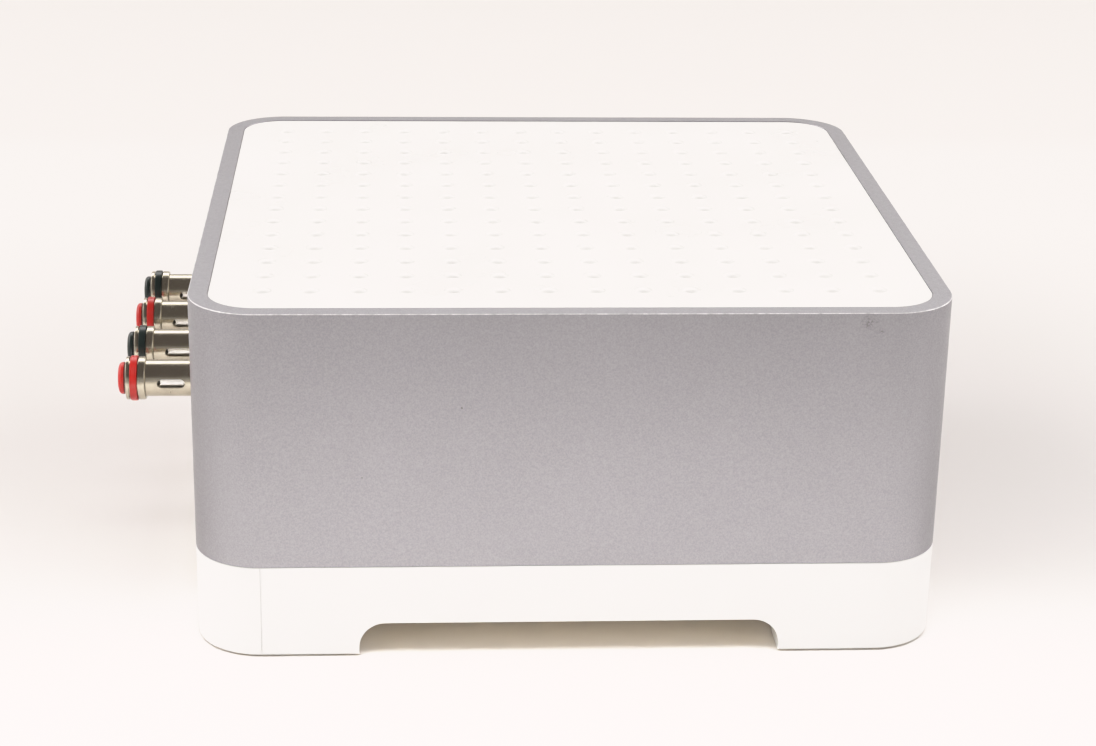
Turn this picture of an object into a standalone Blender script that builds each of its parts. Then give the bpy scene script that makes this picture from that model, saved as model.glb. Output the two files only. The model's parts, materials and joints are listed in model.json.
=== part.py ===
"""Compact network amplifier: an aluminium band between a white moulded base and a white top cover.

The front faces -Y. Four sprung speaker posts stand out of the rear panel, which faces +Y.
Lengths are in metres, +Z is up, and the floor that the rubber pads stand on is z = 0.
Pieces are modelled round the middle of the square case; the empty "case_frame" then moves them
so that the middle of the whole object, posts included, lies over the origin.
Names that end in _Z are heights above the floor, and distances along a speaker post are
measured outwards from the rear panel's outer face.
"""

import math

import bmesh
import bpy
from mathutils import Matrix

# ---------------------------------------------------------------- driving dimensions
BODY_WIDTH = 0.185
BODY_DEPTH = 0.185
BODY_HEIGHT = 0.0893
CORNER_RADIUS = 0.0165
SEAM_Z = 0.0242  # joint between the white base and the aluminium band
GAP = 0.0003  # clearance between two pieces that seat on each other

BAND_WALL = 0.0022
RIM_WIDTH = 0.0048  # the band's flat top, seen round the cover
RIM_THICKNESS = 0.0025
RIM_CHAMFER = 0.0004

COVER_DROP = 0.0003  # the cover's face lies this far below the rim
COVER_PLATE = 0.0022
COVER_LEDGE = 0.002  # thickness of the edge that lies under the rim
COVER_LEDGE_REACH = 0.0019
COVER_FRAME = 0.004

BASE_WALL = 0.0025
BASE_FLOOR = 0.0025
ARCH_TOP_Z = 0.009
ARCH_RADIUS = 0.0065
FOOT_WIDTH = 0.0405
FOOT_FLOOR = 0.0031
FOOT_WALL = 0.003

PAD_RADIUS = 0.007
PAD_THICKNESS = 0.0009
PAD_PROUD = 0.0002
PAD_INSET = 0.0245  # from the case's sides to the middle of a pad

SCREW_COVER = 0.0013  # plastic outside the tube that each case screw goes up
SCREW_SHANK_RADIUS = 0.0015
SCREW_SHANK_LENGTH = 0.022
SCREW_HEAD_RADIUS = 0.0029
SCREW_HEAD_HEIGHT = 0.0022
SCREW_SHELF_Z = 0.014  # the shelf that the head pulls against
SCREW_SLOT_WIDTH = 0.0008
SCREW_SLOT_DEPTH = 0.001
TUBE_WALL = 0.001

WINDOW_SIDE = 0.0245  # from the case's sides to the rear window
WINDOW_BOTTOM_Z = 0.028
WINDOW_TOP_DROP = 0.0113  # from the rim down to the rear window
WINDOW_RADIUS = 0.005
PANEL_RECESS = 0.0015  # the panel's face lies this far inside the case's rear face
PANEL_FLANGE = 0.002
PANEL_FLANGE_REACH = 0.003

POST_PITCH = 0.0237
POST_MIDDLE_X = -0.0018
POST_Z = 0.053
POST_REACH = 0.0235  # panel face to the end of the cap
POST_TRAVEL = 0.0035
BARREL_BORE = 0.0029
BARREL_WALL = 0.00185
SHANK_WALL = 0.0005
SHANK_LENGTH = 0.0077
TAIL_RADIUS = 0.0012
TAIL_LENGTH = 0.0033
FOOT_FLANGE_RADIUS = 0.0056
FOOT_FLANGE_THICKNESS = 0.0012
HEAD_BORE = 0.00445
HEAD_WALL = 0.00115
HEAD_FLOOR = 0.0004
HEAD_LIP = 0.0008
RING_GROOVE_WIDTH = 0.0025
RING_GROOVE_DEPTH = 0.0007
RING_PROUD = 0.00025
CAP_THICKNESS = 0.0017
CAP_STANDOFF = 0.0005  # head's mouth to the underside of the cap
STEM_HEAD_REACH = 0.001
STEM_HEAD_HEIGHT = 0.0009
STEM_FOOT = 0.006  # panel face to the stem's inner end
WIRE_HOLE_RADIUS = 0.0012
WIRE_SLOT_START = 0.0061
WIRE_SLOT_LENGTH = 0.0071
WIRE_SLOT_WIDTH = 0.0024
SPRING_WIRE = 0.0006
SPRING_TURNS = 5
BORE_END = -0.0055  # bottom of the bore, inside the panel
NUT_ACROSS_FLATS = 0.010
NUT_THICKNESS = 0.003

BOARD_TOP_Z = 0.0315
BOARD_THICKNESS = 0.0016
BOARD_SIDE_MARGIN = 0.0145
BOARD_REAR_MARGIN = 0.0065
BOARD_FRONT_MARGIN = 0.0225
BOARD_SPLIT_X = -0.028  # between the power board and the main board
BOARD_SPLIT = 0.004
STANDOFF_RADIUS = 0.003
STANDOFF_INSET = 0.006
BOARD_HOLE_RADIUS = 0.0016
STANDOFF_SPIGOT = 0.001

LAN_X = -0.0075
LAN_SIZE = (0.033, 0.021, 0.0135)
LAN_SHIELD_WALL = 0.0005
LAN_PORT_PITCH = 0.0155
LAN_PORT_SIZE = (0.0118, 0.0075)
LAN_LATCH_SIZE = (0.006, 0.0026)
LAN_PORT_DEPTH = 0.013
CONNECTOR_PROUD = 0.0003

PHONO_PITCH = 0.014
PHONO_MIDDLE_X = 0.045
PHONO_AXIS_HEIGHT = 0.008  # above the connector's underside
PHONO_BLOCK = (0.041, 0.0137, 0.0147)
PHONO_CORE_RADIUS = 0.0032
PHONO_CONTACT_RADIUS = 0.0016
PHONO_CONTACT_DEPTH = 0.010
PHONO_SLEEVE_RADIUS = 0.00415
PHONO_SLEEVE_LENGTH = 0.0083
PHONO_FLANGE_RADIUS = 0.0054
PHONO_FLANGE_THICKNESS = 0.001

INLET_X = -0.050
INLET_SIZE = (0.020, 0.0183, 0.013)
INLET_RECESS = (0.014, 0.012, 0.0084)
INLET_PIN_RADIUS = 0.0012
INLET_PIN_PITCH = 0.0086
INLET_PIN_LENGTH = 0.018
INLET_PIN_DROP = 0.003  # the pin's tip, inside the recess's mouth

CONTROL_DROP = 0.0193  # from the rim down to the middle of the buttons
BUTTON_PITCH = 0.016
BUTTON_MIDDLE_X = 0.046
BUTTON_SIZE = (0.012, 0.0055)
BUTTON_RADIUS = 0.0026
BUTTON_PROUD = 0.0004
BUTTON_FLANGE = 0.001  # how far the flange reaches past the cap
BUTTON_FLANGE_THICKNESS = 0.0012
BUTTON_STEM = (0.004, 0.0022, 0.003)
BUTTON_TRAVEL = 0.0006
LIGHT_X = 0.018
LIGHT_RADIUS = 0.0015
LIGHT_FLANGE_RADIUS = 0.0022
SWITCH_BODY = 0.005
SWITCH_ACTUATOR_RADIUS = 0.0014
SWITCH_ACTUATOR = 0.0007
BUTTON_BOARD_SIZE = (0.066, 0.0016, 0.016)
BUTTON_BOARD_Y = 0.0083  # case's front face to the board's front face
PEG_RADIUS = 0.002
PEG_SPREAD = 0.030

TERMINAL_BOARD = (0.015, 0.0016, 0.012)  # reach past the end posts in all, thickness, height
TONGUE_X = 0.0175
TONGUE_WIDTH = 0.008

TRANSFORMER = (0.034, 0.030, 0.026)
TRANSFORMER_Y = 0.022
WINDING_BULGE = 0.004
CAPACITOR_RADIUS = 0.010
CAPACITOR_HEIGHT = 0.030
CAPACITOR_PITCH = 0.023
CAPACITOR_Y = -0.030
HEAT_SINK = (0.058, 0.036, 0.024)
HEAT_SINK_BASE = 0.005
HEAT_SINK_FINS = 8
HEAT_SINK_FIN = 0.0025
HEAT_SINK_Y = 0.020
WIRELESS_CARD = (0.060, 0.040, 0.0012)
WIRELESS_CARD_Y = -0.035
WIRELESS_SOCKET = (0.060, 0.006, 0.004)
WIRELESS_CAN = (0.030, 0.028, 0.0025)
ANTENNA = (0.055, 0.008, 0.001)
ANTENNA_INSET = 0.030

CORNER_STEPS = 6
SMALL_CORNER_STEPS = 3
ROUND_STEPS = 16
SMALL_ROUND_STEPS = 10

# ---------------------------------------------------------------- sizes that follow
FOOT_Z = PAD_PROUD  # underside of the plastic feet
TUBE_RADIUS = SCREW_HEAD_RADIUS + GAP + TUBE_WALL
COLUMN_RADIUS = TUBE_RADIUS - GAP
SCREW_INSET = CORNER_RADIUS - (CORNER_RADIUS - TUBE_RADIUS - SCREW_COVER) / math.sqrt(2)
WINDOW_WIDTH = BODY_WIDTH - 2 * WINDOW_SIDE
WINDOW_TOP_Z = BODY_HEIGHT - WINDOW_TOP_DROP
CONTROL_Z = BODY_HEIGHT - CONTROL_DROP
BARREL_RADIUS = BARREL_BORE + BARREL_WALL
SHANK_RADIUS = BARREL_BORE + SHANK_WALL
STEM_RADIUS = BARREL_BORE - GAP
STEM_HEAD_RADIUS = STEM_RADIUS + STEM_HEAD_REACH
SPRING_COIL_RADIUS = STEM_RADIUS - SPRING_WIRE / 2
HEAD_RADIUS = HEAD_BORE + HEAD_WALL
HEAD_BORE_DEPTH = POST_TRAVEL + STEM_HEAD_HEIGHT + GAP
HEAD_LENGTH = HEAD_BORE_DEPTH + HEAD_FLOOR
RING_GROOVE_RADIUS = HEAD_RADIUS - RING_GROOVE_DEPTH
RING_RADIUS = HEAD_RADIUS + RING_PROUD
CAP_RADIUS = HEAD_BORE - GAP
REAR_Y = BODY_DEPTH / 2
FRONT_Y = -BODY_DEPTH / 2
PANEL_Y = REAR_Y - PANEL_RECESS
PANEL_INNER_Y = REAR_Y - BAND_WALL - GAP - PANEL_FLANGE
FLOOR_TOP_Z = ARCH_TOP_Z + BASE_FLOOR
RIM_UNDER_Z = BODY_HEIGHT - RIM_THICKNESS
LEDGE_TOP_Z = RIM_UNDER_Z - GAP
LEDGE_UNDER_Z = LEDGE_TOP_Z - COVER_LEDGE
COVER_TOP_Z = BODY_HEIGHT - COVER_DROP
COVER_UNDER_Z = COVER_TOP_Z - COVER_PLATE
BOARD_UNDER_Z = BOARD_TOP_Z - BOARD_THICKNESS
CONNECTOR_Z = BOARD_TOP_Z + GAP
PHONO_Z = CONNECTOR_Z + PHONO_AXIS_HEIGHT
BARREL_END = POST_REACH - CAP_THICKNESS - CAP_STANDOFF
CAP_UNDER = POST_REACH - CAP_THICKNESS
STEM_END = CAP_UNDER - GAP
BOARD_REAR_Y = REAR_Y - BOARD_REAR_MARGIN
BOARD_FRONT_Y = FRONT_Y + BOARD_FRONT_MARGIN
SIDE_X = BODY_WIDTH / 2
MAIN_BOARD_X = (BOARD_SPLIT_X + BOARD_SPLIT / 2, SIDE_X - BOARD_SIDE_MARGIN)
POWER_BOARD_X = (-SIDE_X + BOARD_SIDE_MARGIN, BOARD_SPLIT_X - BOARD_SPLIT / 2)
POST_XS = [POST_MIDDLE_X + POST_PITCH * (k - 1.5) for k in range(4)]
PHONO_XS = [PHONO_MIDDLE_X + PHONO_PITCH * k for k in (-1, 0, 1)]
BUTTON_XS = [BUTTON_MIDDLE_X + BUTTON_PITCH * k for k in (-1, 0, 1)]
CORNERS = [(sx, sy) for sy in (-1, 1) for sx in (-1, 1)]

OUTWARDS = (-math.pi / 2, 0, 0)  # turns a piece's own +Z to the case's +Y
INWARDS = (math.pi / 2, 0, 0)  # turns a piece's own +Z to the case's -Y


# ---------------------------------------------------------------- modelling helpers
def material(name, colour, roughness, metallic=0.0):
    """A Principled BSDF material, made once for each name."""
    found = bpy.data.materials.get(name)
    if found:
        return found
    made = bpy.data.materials.new(name)
    made.use_nodes = True
    shader = made.node_tree.nodes["Principled BSDF"]
    shader.inputs["Base Color"].default_value = (*colour, 1.0)
    shader.inputs["Roughness"].default_value = roughness
    shader.inputs["Metallic"].default_value = metallic
    return made


def add_object(name, data, collection, location=(0, 0, 0), rotation=(0, 0, 0)):
    obj = bpy.data.objects.new(name, data)
    obj.location = location
    obj.rotation_euler = rotation
    obj.parent = case_frame
    collection.objects.link(obj)
    return obj


def part(name, data, surface, location=(0, 0, 0), rotation=(0, 0, 0)):
    """A named piece of the amplifier."""
    data.materials.clear()
    data.materials.append(surface)
    return add_object(name, data, parts, location, rotation)


def tool(data, location=(0, 0, 0), rotation=(0, 0, 0)):
    """A shape that is only cut from, or joined to, a piece."""
    obj = add_object("tool", data, tools, location, rotation)
    obj.hide_render = True
    obj.display_type = "WIRE"
    return obj


def combine(target, shapes, operation):
    for shape in shapes:
        modifier = target.modifiers.new(operation.title(), "BOOLEAN")
        modifier.operation = operation
        modifier.object = shape
    return target


def cut(target, *shapes):
    return combine(target, shapes, "DIFFERENCE")


def join(target, *shapes):
    return combine(target, shapes, "UNION")


def mesh_from(bm, name="shape"):
    mesh = bpy.data.meshes.new(name)
    bm.to_mesh(mesh)
    bm.free()
    return mesh


def block(size, radius=0.0, along="Z", steps=CORNER_STEPS, chamfer_top=0.0):
    """A box about its own middle, with the four edges that run along one axis rounded."""
    bm = bmesh.new()
    bmesh.ops.create_cube(bm, size=1.0)
    bmesh.ops.scale(bm, vec=size, verts=bm.verts)
    axis = "XYZ".index(along)
    if radius:
        edges = [e for e in bm.edges if abs(e.verts[0].co[axis] - e.verts[1].co[axis]) > size[axis] / 2]
        bmesh.ops.bevel(bm, geom=edges, offset=radius, segments=steps, profile=0.5, affect="EDGES")
    if chamfer_top:
        top = [e for e in bm.edges if all(v.co.z > size[2] / 2 - 1e-6 for v in e.verts)]
        bmesh.ops.bevel(bm, geom=top, offset=chamfer_top, segments=1, profile=0.5, affect="EDGES")
    return mesh_from(bm)


def between(low, high):
    """Size and middle of the box from one corner to the other."""
    return [h - l for l, h in zip(low, high)], [(h + l) / 2 for l, h in zip(low, high)]


def block_between(low, high, **rounding):
    """A block's mesh and the place of its middle."""
    size, middle = between(low, high)
    return block(size, **rounding), middle


def plan_block(inset, low_z, high_z, chamfer_top=0.0):
    """A prism with the case's own rounded outline, drawn in by inset."""
    size = (BODY_WIDTH - 2 * inset, BODY_DEPTH - 2 * inset, high_z - low_z)
    mesh = block(size, radius=CORNER_RADIUS - inset, chamfer_top=chamfer_top)
    return mesh, (0, 0, (low_z + high_z) / 2)


def rod(radius, length, steps=ROUND_STEPS):
    """A cylinder that stands on its own origin."""
    bm = bmesh.new()
    bmesh.ops.create_cone(bm, cap_ends=True, segments=steps, radius1=radius, radius2=radius, depth=length)
    bmesh.ops.translate(bm, verts=bm.verts, vec=(0, 0, length / 2))
    return mesh_from(bm)


def profile_mesh(points, closed=False):
    """A line of (radius, height) points for a Screw modifier."""
    mesh = bpy.data.meshes.new("profile")
    edges = [(k, k + 1) for k in range(len(points) - 1)]
    if closed:
        edges.append((len(points) - 1, 0))
    mesh.from_pydata([(r, 0, z) for r, z in points], edges, [])
    return mesh


def turn(obj, steps=ROUND_STEPS):
    """Turns a piece's profile round its own Z axis."""
    screw = obj.modifiers.new("Turn", "SCREW")
    screw.steps = steps
    screw.render_steps = steps
    screw.use_smooth_shade = True
    screw.use_merge_vertices = True
    screw.merge_threshold = 0.00001
    return obj


def at_corners(inset, z):
    """A place near each of the case's four corners."""
    return [(sx * (SIDE_X - inset), sy * (REAR_Y - inset), z) for sx, sy in CORNERS]


# ---------------------------------------------------------------- the case
def make_side_band():
    band = part("side_band", *with_surface(plan_block(0, SEAM_Z, BODY_HEIGHT, RIM_CHAMFER), ALUMINIUM))
    inside = plan_block(BAND_WALL, SEAM_Z - 0.01, RIM_UNDER_Z)
    mouth = plan_block(RIM_WIDTH, RIM_UNDER_Z - 0.001, BODY_HEIGHT + 0.001)
    cut(band, tool(*inside), tool(*mouth))
    column_top = LEDGE_UNDER_Z - GAP
    pilot_start = SEAM_Z - 0.001
    pilot_length = SCREW_SHELF_Z + SCREW_SHANK_LENGTH - pilot_start
    for x, y, z in at_corners(SCREW_INSET, SEAM_Z):
        join(band, tool(rod(COLUMN_RADIUS, column_top - z, SMALL_ROUND_STEPS), (x, y, z)))
        pilot = rod(SCREW_SHANK_RADIUS + GAP, pilot_length, SMALL_ROUND_STEPS)
        cut(band, tool(pilot, (x, y, pilot_start)))
    peg_length = BUTTON_BOARD_Y - GAP - BAND_WALL / 2
    for side in (-1, 1):
        place = (BUTTON_MIDDLE_X - BUTTON_PITCH / 4 + side * PEG_SPREAD, FRONT_Y + BAND_WALL / 2, CONTROL_Z)
        join(band, tool(rod(PEG_RADIUS, peg_length, SMALL_ROUND_STEPS), place, OUTWARDS))
    window = block_between(
        (-WINDOW_WIDTH / 2, REAR_Y - 2 * BAND_WALL, WINDOW_BOTTOM_Z),
        (WINDOW_WIDTH / 2, REAR_Y + BAND_WALL, WINDOW_TOP_Z),
        radius=WINDOW_RADIUS, along="Y", steps=SMALL_CORNER_STEPS,
    )
    cut(band, tool(*window))
    hole_size = (BUTTON_SIZE[0] + 2 * GAP, 3 * BAND_WALL, BUTTON_SIZE[1] + 2 * GAP)
    for x in BUTTON_XS:
        hole = block(hole_size, radius=BUTTON_RADIUS + GAP, along="Y", steps=SMALL_CORNER_STEPS)
        cut(band, tool(hole, (x, FRONT_Y, CONTROL_Z)))
    light_hole = rod(LIGHT_RADIUS + GAP, 3 * BAND_WALL, SMALL_ROUND_STEPS)
    cut(band, tool(light_hole, (LIGHT_X, FRONT_Y - BAND_WALL, CONTROL_Z), OUTWARDS))


def with_surface(shape, surface):
    """The (mesh, surface, place) that part() takes, from a (mesh, place) pair."""
    return shape[0], surface, shape[1]


def make_top_cover():
    cover = part("top_cover", *with_surface(plan_block(RIM_WIDTH + GAP, LEDGE_UNDER_Z, COVER_TOP_Z), WHITE))
    ledge_inset = RIM_WIDTH - COVER_LEDGE_REACH
    join(cover, tool(*plan_block(ledge_inset, LEDGE_UNDER_Z - 0.0001, LEDGE_TOP_Z)))
    hollow = plan_block(RIM_WIDTH + COVER_FRAME, LEDGE_UNDER_Z - 0.002, COVER_UNDER_Z)
    cut(cover, tool(*hollow))


def make_base_tray():
    base = part("base_tray", *with_surface(plan_block(0, FOOT_Z, SEAM_Z - GAP), WHITE))
    cut(base, tool(*plan_block(BASE_WALL, FLOOR_TOP_Z, SEAM_Z + 0.002)))
    pocket_size = FOOT_WIDTH - 2 * FOOT_WALL
    pocket_low, pocket_high = FOOT_Z + FOOT_FLOOR, FLOOR_TOP_Z + 0.001
    for x, y, _ in at_corners(FOOT_WIDTH / 2, 0):
        pocket_height = pocket_high - pocket_low
        shape = block((pocket_size, pocket_size, pocket_height), radius=CORNER_RADIUS - FOOT_WALL)
        cut(base, tool(shape, (x, y, (pocket_low + pocket_high) / 2)))
    across = (BODY_WIDTH + 0.01, BODY_DEPTH - 2 * FOOT_WIDTH, 2 * ARCH_TOP_Z)
    along = (BODY_WIDTH - 2 * FOOT_WIDTH, BODY_DEPTH + 0.01, 2 * ARCH_TOP_Z)
    cut(base, tool(block(across, radius=ARCH_RADIUS, along="X", steps=SMALL_CORNER_STEPS + 2)))
    cut(base, tool(block(along, radius=ARCH_RADIUS, along="Y", steps=SMALL_CORNER_STEPS + 2)))
    tube_foot = FOOT_FLOOR / 2
    for x, y, z in at_corners(SCREW_INSET, FOOT_Z + tube_foot):
        tube_length = SEAM_Z - 2 * GAP - z
        join(base, tool(rod(TUBE_RADIUS, tube_length, SMALL_ROUND_STEPS), (x, y, z)))
        cut(base, tool(rod(SCREW_SHANK_RADIUS + GAP, 0.05, SMALL_ROUND_STEPS), (x, y, -0.01)))
        head_room = rod(SCREW_HEAD_RADIUS + GAP, SCREW_SHELF_Z + 0.01, SMALL_ROUND_STEPS)
        cut(base, tool(head_room, (x, y, -0.01)))
    for x, y, _ in at_corners(PAD_INSET, 0):
        recess_top = PAD_THICKNESS + GAP
        cut(base, tool(rod(PAD_RADIUS + GAP, recess_top + 0.01), (x, y, -0.01)))
    for x, y in standoff_places():
        over_foot = abs(x) > SIDE_X - FOOT_WIDTH and abs(y) > REAR_Y - FOOT_WIDTH
        start = (FOOT_Z + FOOT_FLOOR if over_foot else FLOOR_TOP_Z) - 0.001
        post = rod(STANDOFF_RADIUS, BOARD_UNDER_Z - GAP - start, SMALL_ROUND_STEPS)
        join(base, tool(post, (x, y, start)))
        spigot = rod(BOARD_HOLE_RADIUS - GAP, BOARD_THICKNESS + STANDOFF_SPIGOT, SMALL_ROUND_STEPS)
        join(base, tool(spigot, (x, y, BOARD_UNDER_Z - STANDOFF_SPIGOT)))


def standoff_places():
    """The middle of each standoff that carries a board, near the board's corners."""
    places = []
    for low, high in (POWER_BOARD_X, MAIN_BOARD_X):
        for x in (low + STANDOFF_INSET, high - STANDOFF_INSET):
            for y in (BOARD_FRONT_Y + STANDOFF_INSET, FLANGE_CLEAR_Y):
                places.append((x, y))
    return places


FLANGE_CLEAR_Y = BOARD_REAR_Y - LAN_SIZE[1] - STANDOFF_INSET


def make_rear_panel():
    plug = block_between(
        (-WINDOW_WIDTH / 2 + GAP, PANEL_INNER_Y + PANEL_FLANGE / 2, WINDOW_BOTTOM_Z + GAP),
        (WINDOW_WIDTH / 2 - GAP, PANEL_Y, WINDOW_TOP_Z - GAP),
        radius=WINDOW_RADIUS - GAP, along="Y", steps=SMALL_CORNER_STEPS,
    )
    panel = part("rear_panel", *with_surface(plug, WHITE))
    reach = PANEL_FLANGE_REACH
    flange = block_between(
        (-WINDOW_WIDTH / 2 - reach, PANEL_INNER_Y, WINDOW_BOTTOM_Z - reach),
        (WINDOW_WIDTH / 2 + reach, PANEL_INNER_Y + PANEL_FLANGE, WINDOW_TOP_Z + reach),
        radius=WINDOW_RADIUS, along="Y", steps=SMALL_CORNER_STEPS,
    )
    join(panel, tool(*flange))
    holes = [(x, POST_Z, SHANK_RADIUS) for x in POST_XS] + [(x, PHONO_Z, PHONO_CORE_RADIUS) for x in PHONO_XS]
    for x, z, radius in holes:
        cut(panel, tool(rod(radius + GAP, 0.02), (x, PANEL_Y - 0.01, z), OUTWARDS))
    for x, size in ((LAN_X, LAN_SIZE), (INLET_X, INLET_SIZE)):
        opening = (size[0] + 2 * GAP, 0.02, size[2] + 2 * GAP)
        cut(panel, tool(block(opening), (x, PANEL_Y, CONNECTOR_Z + size[2] / 2)))


def make_foot_pads():
    for number, place in enumerate(at_corners(PAD_INSET, 0), 1):
        part(f"foot_pad_{number}", rod(PAD_RADIUS, PAD_THICKNESS), RUBBER, place)


def make_case_screws():
    """Slotted screws that pull the base up against the band's corner columns."""
    head_top = SCREW_SHELF_Z - GAP
    for number, place in enumerate(at_corners(SCREW_INSET, head_top - SCREW_HEAD_HEIGHT), 1):
        head = part(f"case_screw_{number}", rod(SCREW_HEAD_RADIUS, SCREW_HEAD_HEIGHT), STEEL, place)
        x, y, z = place
        shank = rod(SCREW_SHANK_RADIUS, SCREW_SHANK_LENGTH + SCREW_HEAD_HEIGHT / 2, SMALL_ROUND_STEPS)
        join(head, tool(shank, (x, y, z + SCREW_HEAD_HEIGHT / 2)))
        slot = block((3 * SCREW_HEAD_RADIUS, SCREW_SLOT_WIDTH, 2 * SCREW_SLOT_DEPTH))
        cut(head, tool(slot, (x, y, z)))


# ---------------------------------------------------------------- speaker posts
def barrel_profile():
    """From the floor of the bore up its wall, over the mouth and down the outside to the solder tail."""
    groove_top = BARREL_END - HEAD_LIP
    groove_low = groove_top - RING_GROOVE_WIDTH
    head_low = BARREL_END - HEAD_LENGTH
    head_floor = BARREL_END - HEAD_BORE_DEPTH
    edge = GAP
    return [
        (0, BORE_END), (BARREL_BORE, BORE_END), (BARREL_BORE, head_floor), (HEAD_BORE, head_floor),
        (HEAD_BORE, BARREL_END), (HEAD_RADIUS - edge, BARREL_END), (HEAD_RADIUS, BARREL_END - edge),
        (HEAD_RADIUS, groove_top), (RING_GROOVE_RADIUS, groove_top), (RING_GROOVE_RADIUS, groove_low),
        (HEAD_RADIUS, groove_low), (HEAD_RADIUS, head_low + edge), (HEAD_RADIUS - edge, head_low),
        (BARREL_RADIUS, head_low), (BARREL_RADIUS, GAP + FOOT_FLANGE_THICKNESS),
        (FOOT_FLANGE_RADIUS, GAP + FOOT_FLANGE_THICKNESS), (FOOT_FLANGE_RADIUS, GAP),
        (SHANK_RADIUS, GAP), (SHANK_RADIUS, -SHANK_LENGTH), (TAIL_RADIUS, -SHANK_LENGTH),
        (TAIL_RADIUS, -SHANK_LENGTH - TAIL_LENGTH), (0, -SHANK_LENGTH - TAIL_LENGTH),
    ]


def ring_profile():
    top = BARREL_END - HEAD_LIP - GAP
    low = top - RING_GROOVE_WIDTH + 2 * GAP
    inner = RING_GROOVE_RADIUS + GAP
    return [(inner, low), (inner, top), (RING_RADIUS, top), (RING_RADIUS, low)]


def cap_profile():
    dish = CAP_THICKNESS / 4
    return [
        (0, POST_REACH), (CAP_RADIUS - 2 * dish, POST_REACH), (CAP_RADIUS - dish / 2, POST_REACH - dish / 2),
        (CAP_RADIUS, POST_REACH - 2 * dish), (CAP_RADIUS, CAP_UNDER), (0, CAP_UNDER),
    ]


def stem_profile():
    shoulder = STEM_END - STEM_HEAD_HEIGHT
    return [
        (0, STEM_END), (STEM_HEAD_RADIUS, STEM_END), (STEM_HEAD_RADIUS, shoulder),
        (STEM_RADIUS, shoulder), (STEM_RADIUS, STEM_FOOT), (0, STEM_FOOT),
    ]


def wire_slot():
    """The slot that a bared wire goes through, across the barrel from side to side."""
    length = WIRE_SLOT_LENGTH
    return block(
        (3 * BARREL_RADIUS, WIRE_SLOT_WIDTH, length),
        radius=WIRE_SLOT_WIDTH / 2 - 0.00001, along="X", steps=SMALL_CORNER_STEPS,
    )


def spring_curve():
    """A compression spring between the floor of the bore and the stem."""
    low = BORE_END + GAP + SPRING_WIRE / 2
    high = STEM_FOOT - GAP - SPRING_WIRE / 2
    points_per_turn = 6
    count = SPRING_TURNS * points_per_turn + 1
    curve = bpy.data.curves.new("spring", "CURVE")
    curve.dimensions = "3D"
    curve.bevel_depth = SPRING_WIRE / 2
    curve.bevel_resolution = 1
    curve.use_fill_caps = True
    spline = curve.splines.new("POLY")
    spline.points.add(count - 1)
    for k, point in enumerate(spline.points):
        angle = 2 * math.pi * k / points_per_turn
        x, y = SPRING_COIL_RADIUS * math.cos(angle), SPRING_COIL_RADIUS * math.sin(angle)
        point.co = (x, y, low + (high - low) * k / (count - 1), 1)
    return curve


def make_speaker_post(number, x):
    place = (x, PANEL_Y, POST_Z)
    colour = RED if number % 2 else BLACK
    barrel = turn(part(f"post_barrel_{number}", profile_mesh(barrel_profile()), NICKEL, place, OUTWARDS))
    slot_place = (x, PANEL_Y + WIRE_SLOT_START + WIRE_SLOT_LENGTH / 2, POST_Z)
    cut(barrel, tool(wire_slot(), slot_place, OUTWARDS))
    turn(part(f"post_ring_{number}", profile_mesh(ring_profile(), closed=True), colour, place, OUTWARDS))
    stem = turn(part(f"post_plunger_{number}", profile_mesh(stem_profile()), NICKEL, place, OUTWARDS))
    hole_y = PANEL_Y + WIRE_SLOT_START + WIRE_SLOT_LENGTH + WIRE_HOLE_RADIUS / 3
    hole = rod(WIRE_HOLE_RADIUS, 4 * STEM_RADIUS, SMALL_ROUND_STEPS)
    cut(stem, tool(hole, (x - 2 * STEM_RADIUS, hole_y, POST_Z), (0, math.pi / 2, 0)))
    turn(part(f"post_cap_{number}", profile_mesh(cap_profile()), colour, place, OUTWARDS))
    part(f"post_spring_{number}", spring_curve(), STEEL, place, OUTWARDS)
    nut_y = PANEL_INNER_Y - GAP - NUT_THICKNESS
    corner_radius = NUT_ACROSS_FLATS / 2 / math.cos(math.pi / 6)
    nut = part(f"post_nut_{number}", rod(corner_radius, NUT_THICKNESS, 6), NICKEL, (x, nut_y, POST_Z), OUTWARDS)
    cut(nut, tool(rod(SHANK_RADIUS + GAP, 3 * NUT_THICKNESS), (x, nut_y - NUT_THICKNESS, POST_Z), OUTWARDS))


def make_terminal_board():
    """The upright board that the posts' tails are soldered to, with a tongue down to the main board."""
    overhang, thickness, height = TERMINAL_BOARD
    low_x = POST_XS[0] - overhang / 2
    high_x = POST_XS[-1] + overhang / 2
    rear = PANEL_Y - SHANK_LENGTH - GAP
    shape = block_between(
        (low_x, rear - thickness, POST_Z - height / 2), (high_x, rear, POST_Z + height / 2)
    )
    board = part("terminal_board", *with_surface(shape, CIRCUIT))
    tongue = block_between(
        (TONGUE_X - TONGUE_WIDTH / 2, rear - thickness, CONNECTOR_Z),
        (TONGUE_X + TONGUE_WIDTH / 2, rear, POST_Z),
    )
    join(board, tool(*tongue))
    for x in POST_XS:
        cut(board, tool(rod(TAIL_RADIUS + GAP, 0.02, SMALL_ROUND_STEPS), (x, rear - 0.01, POST_Z), OUTWARDS))


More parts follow.
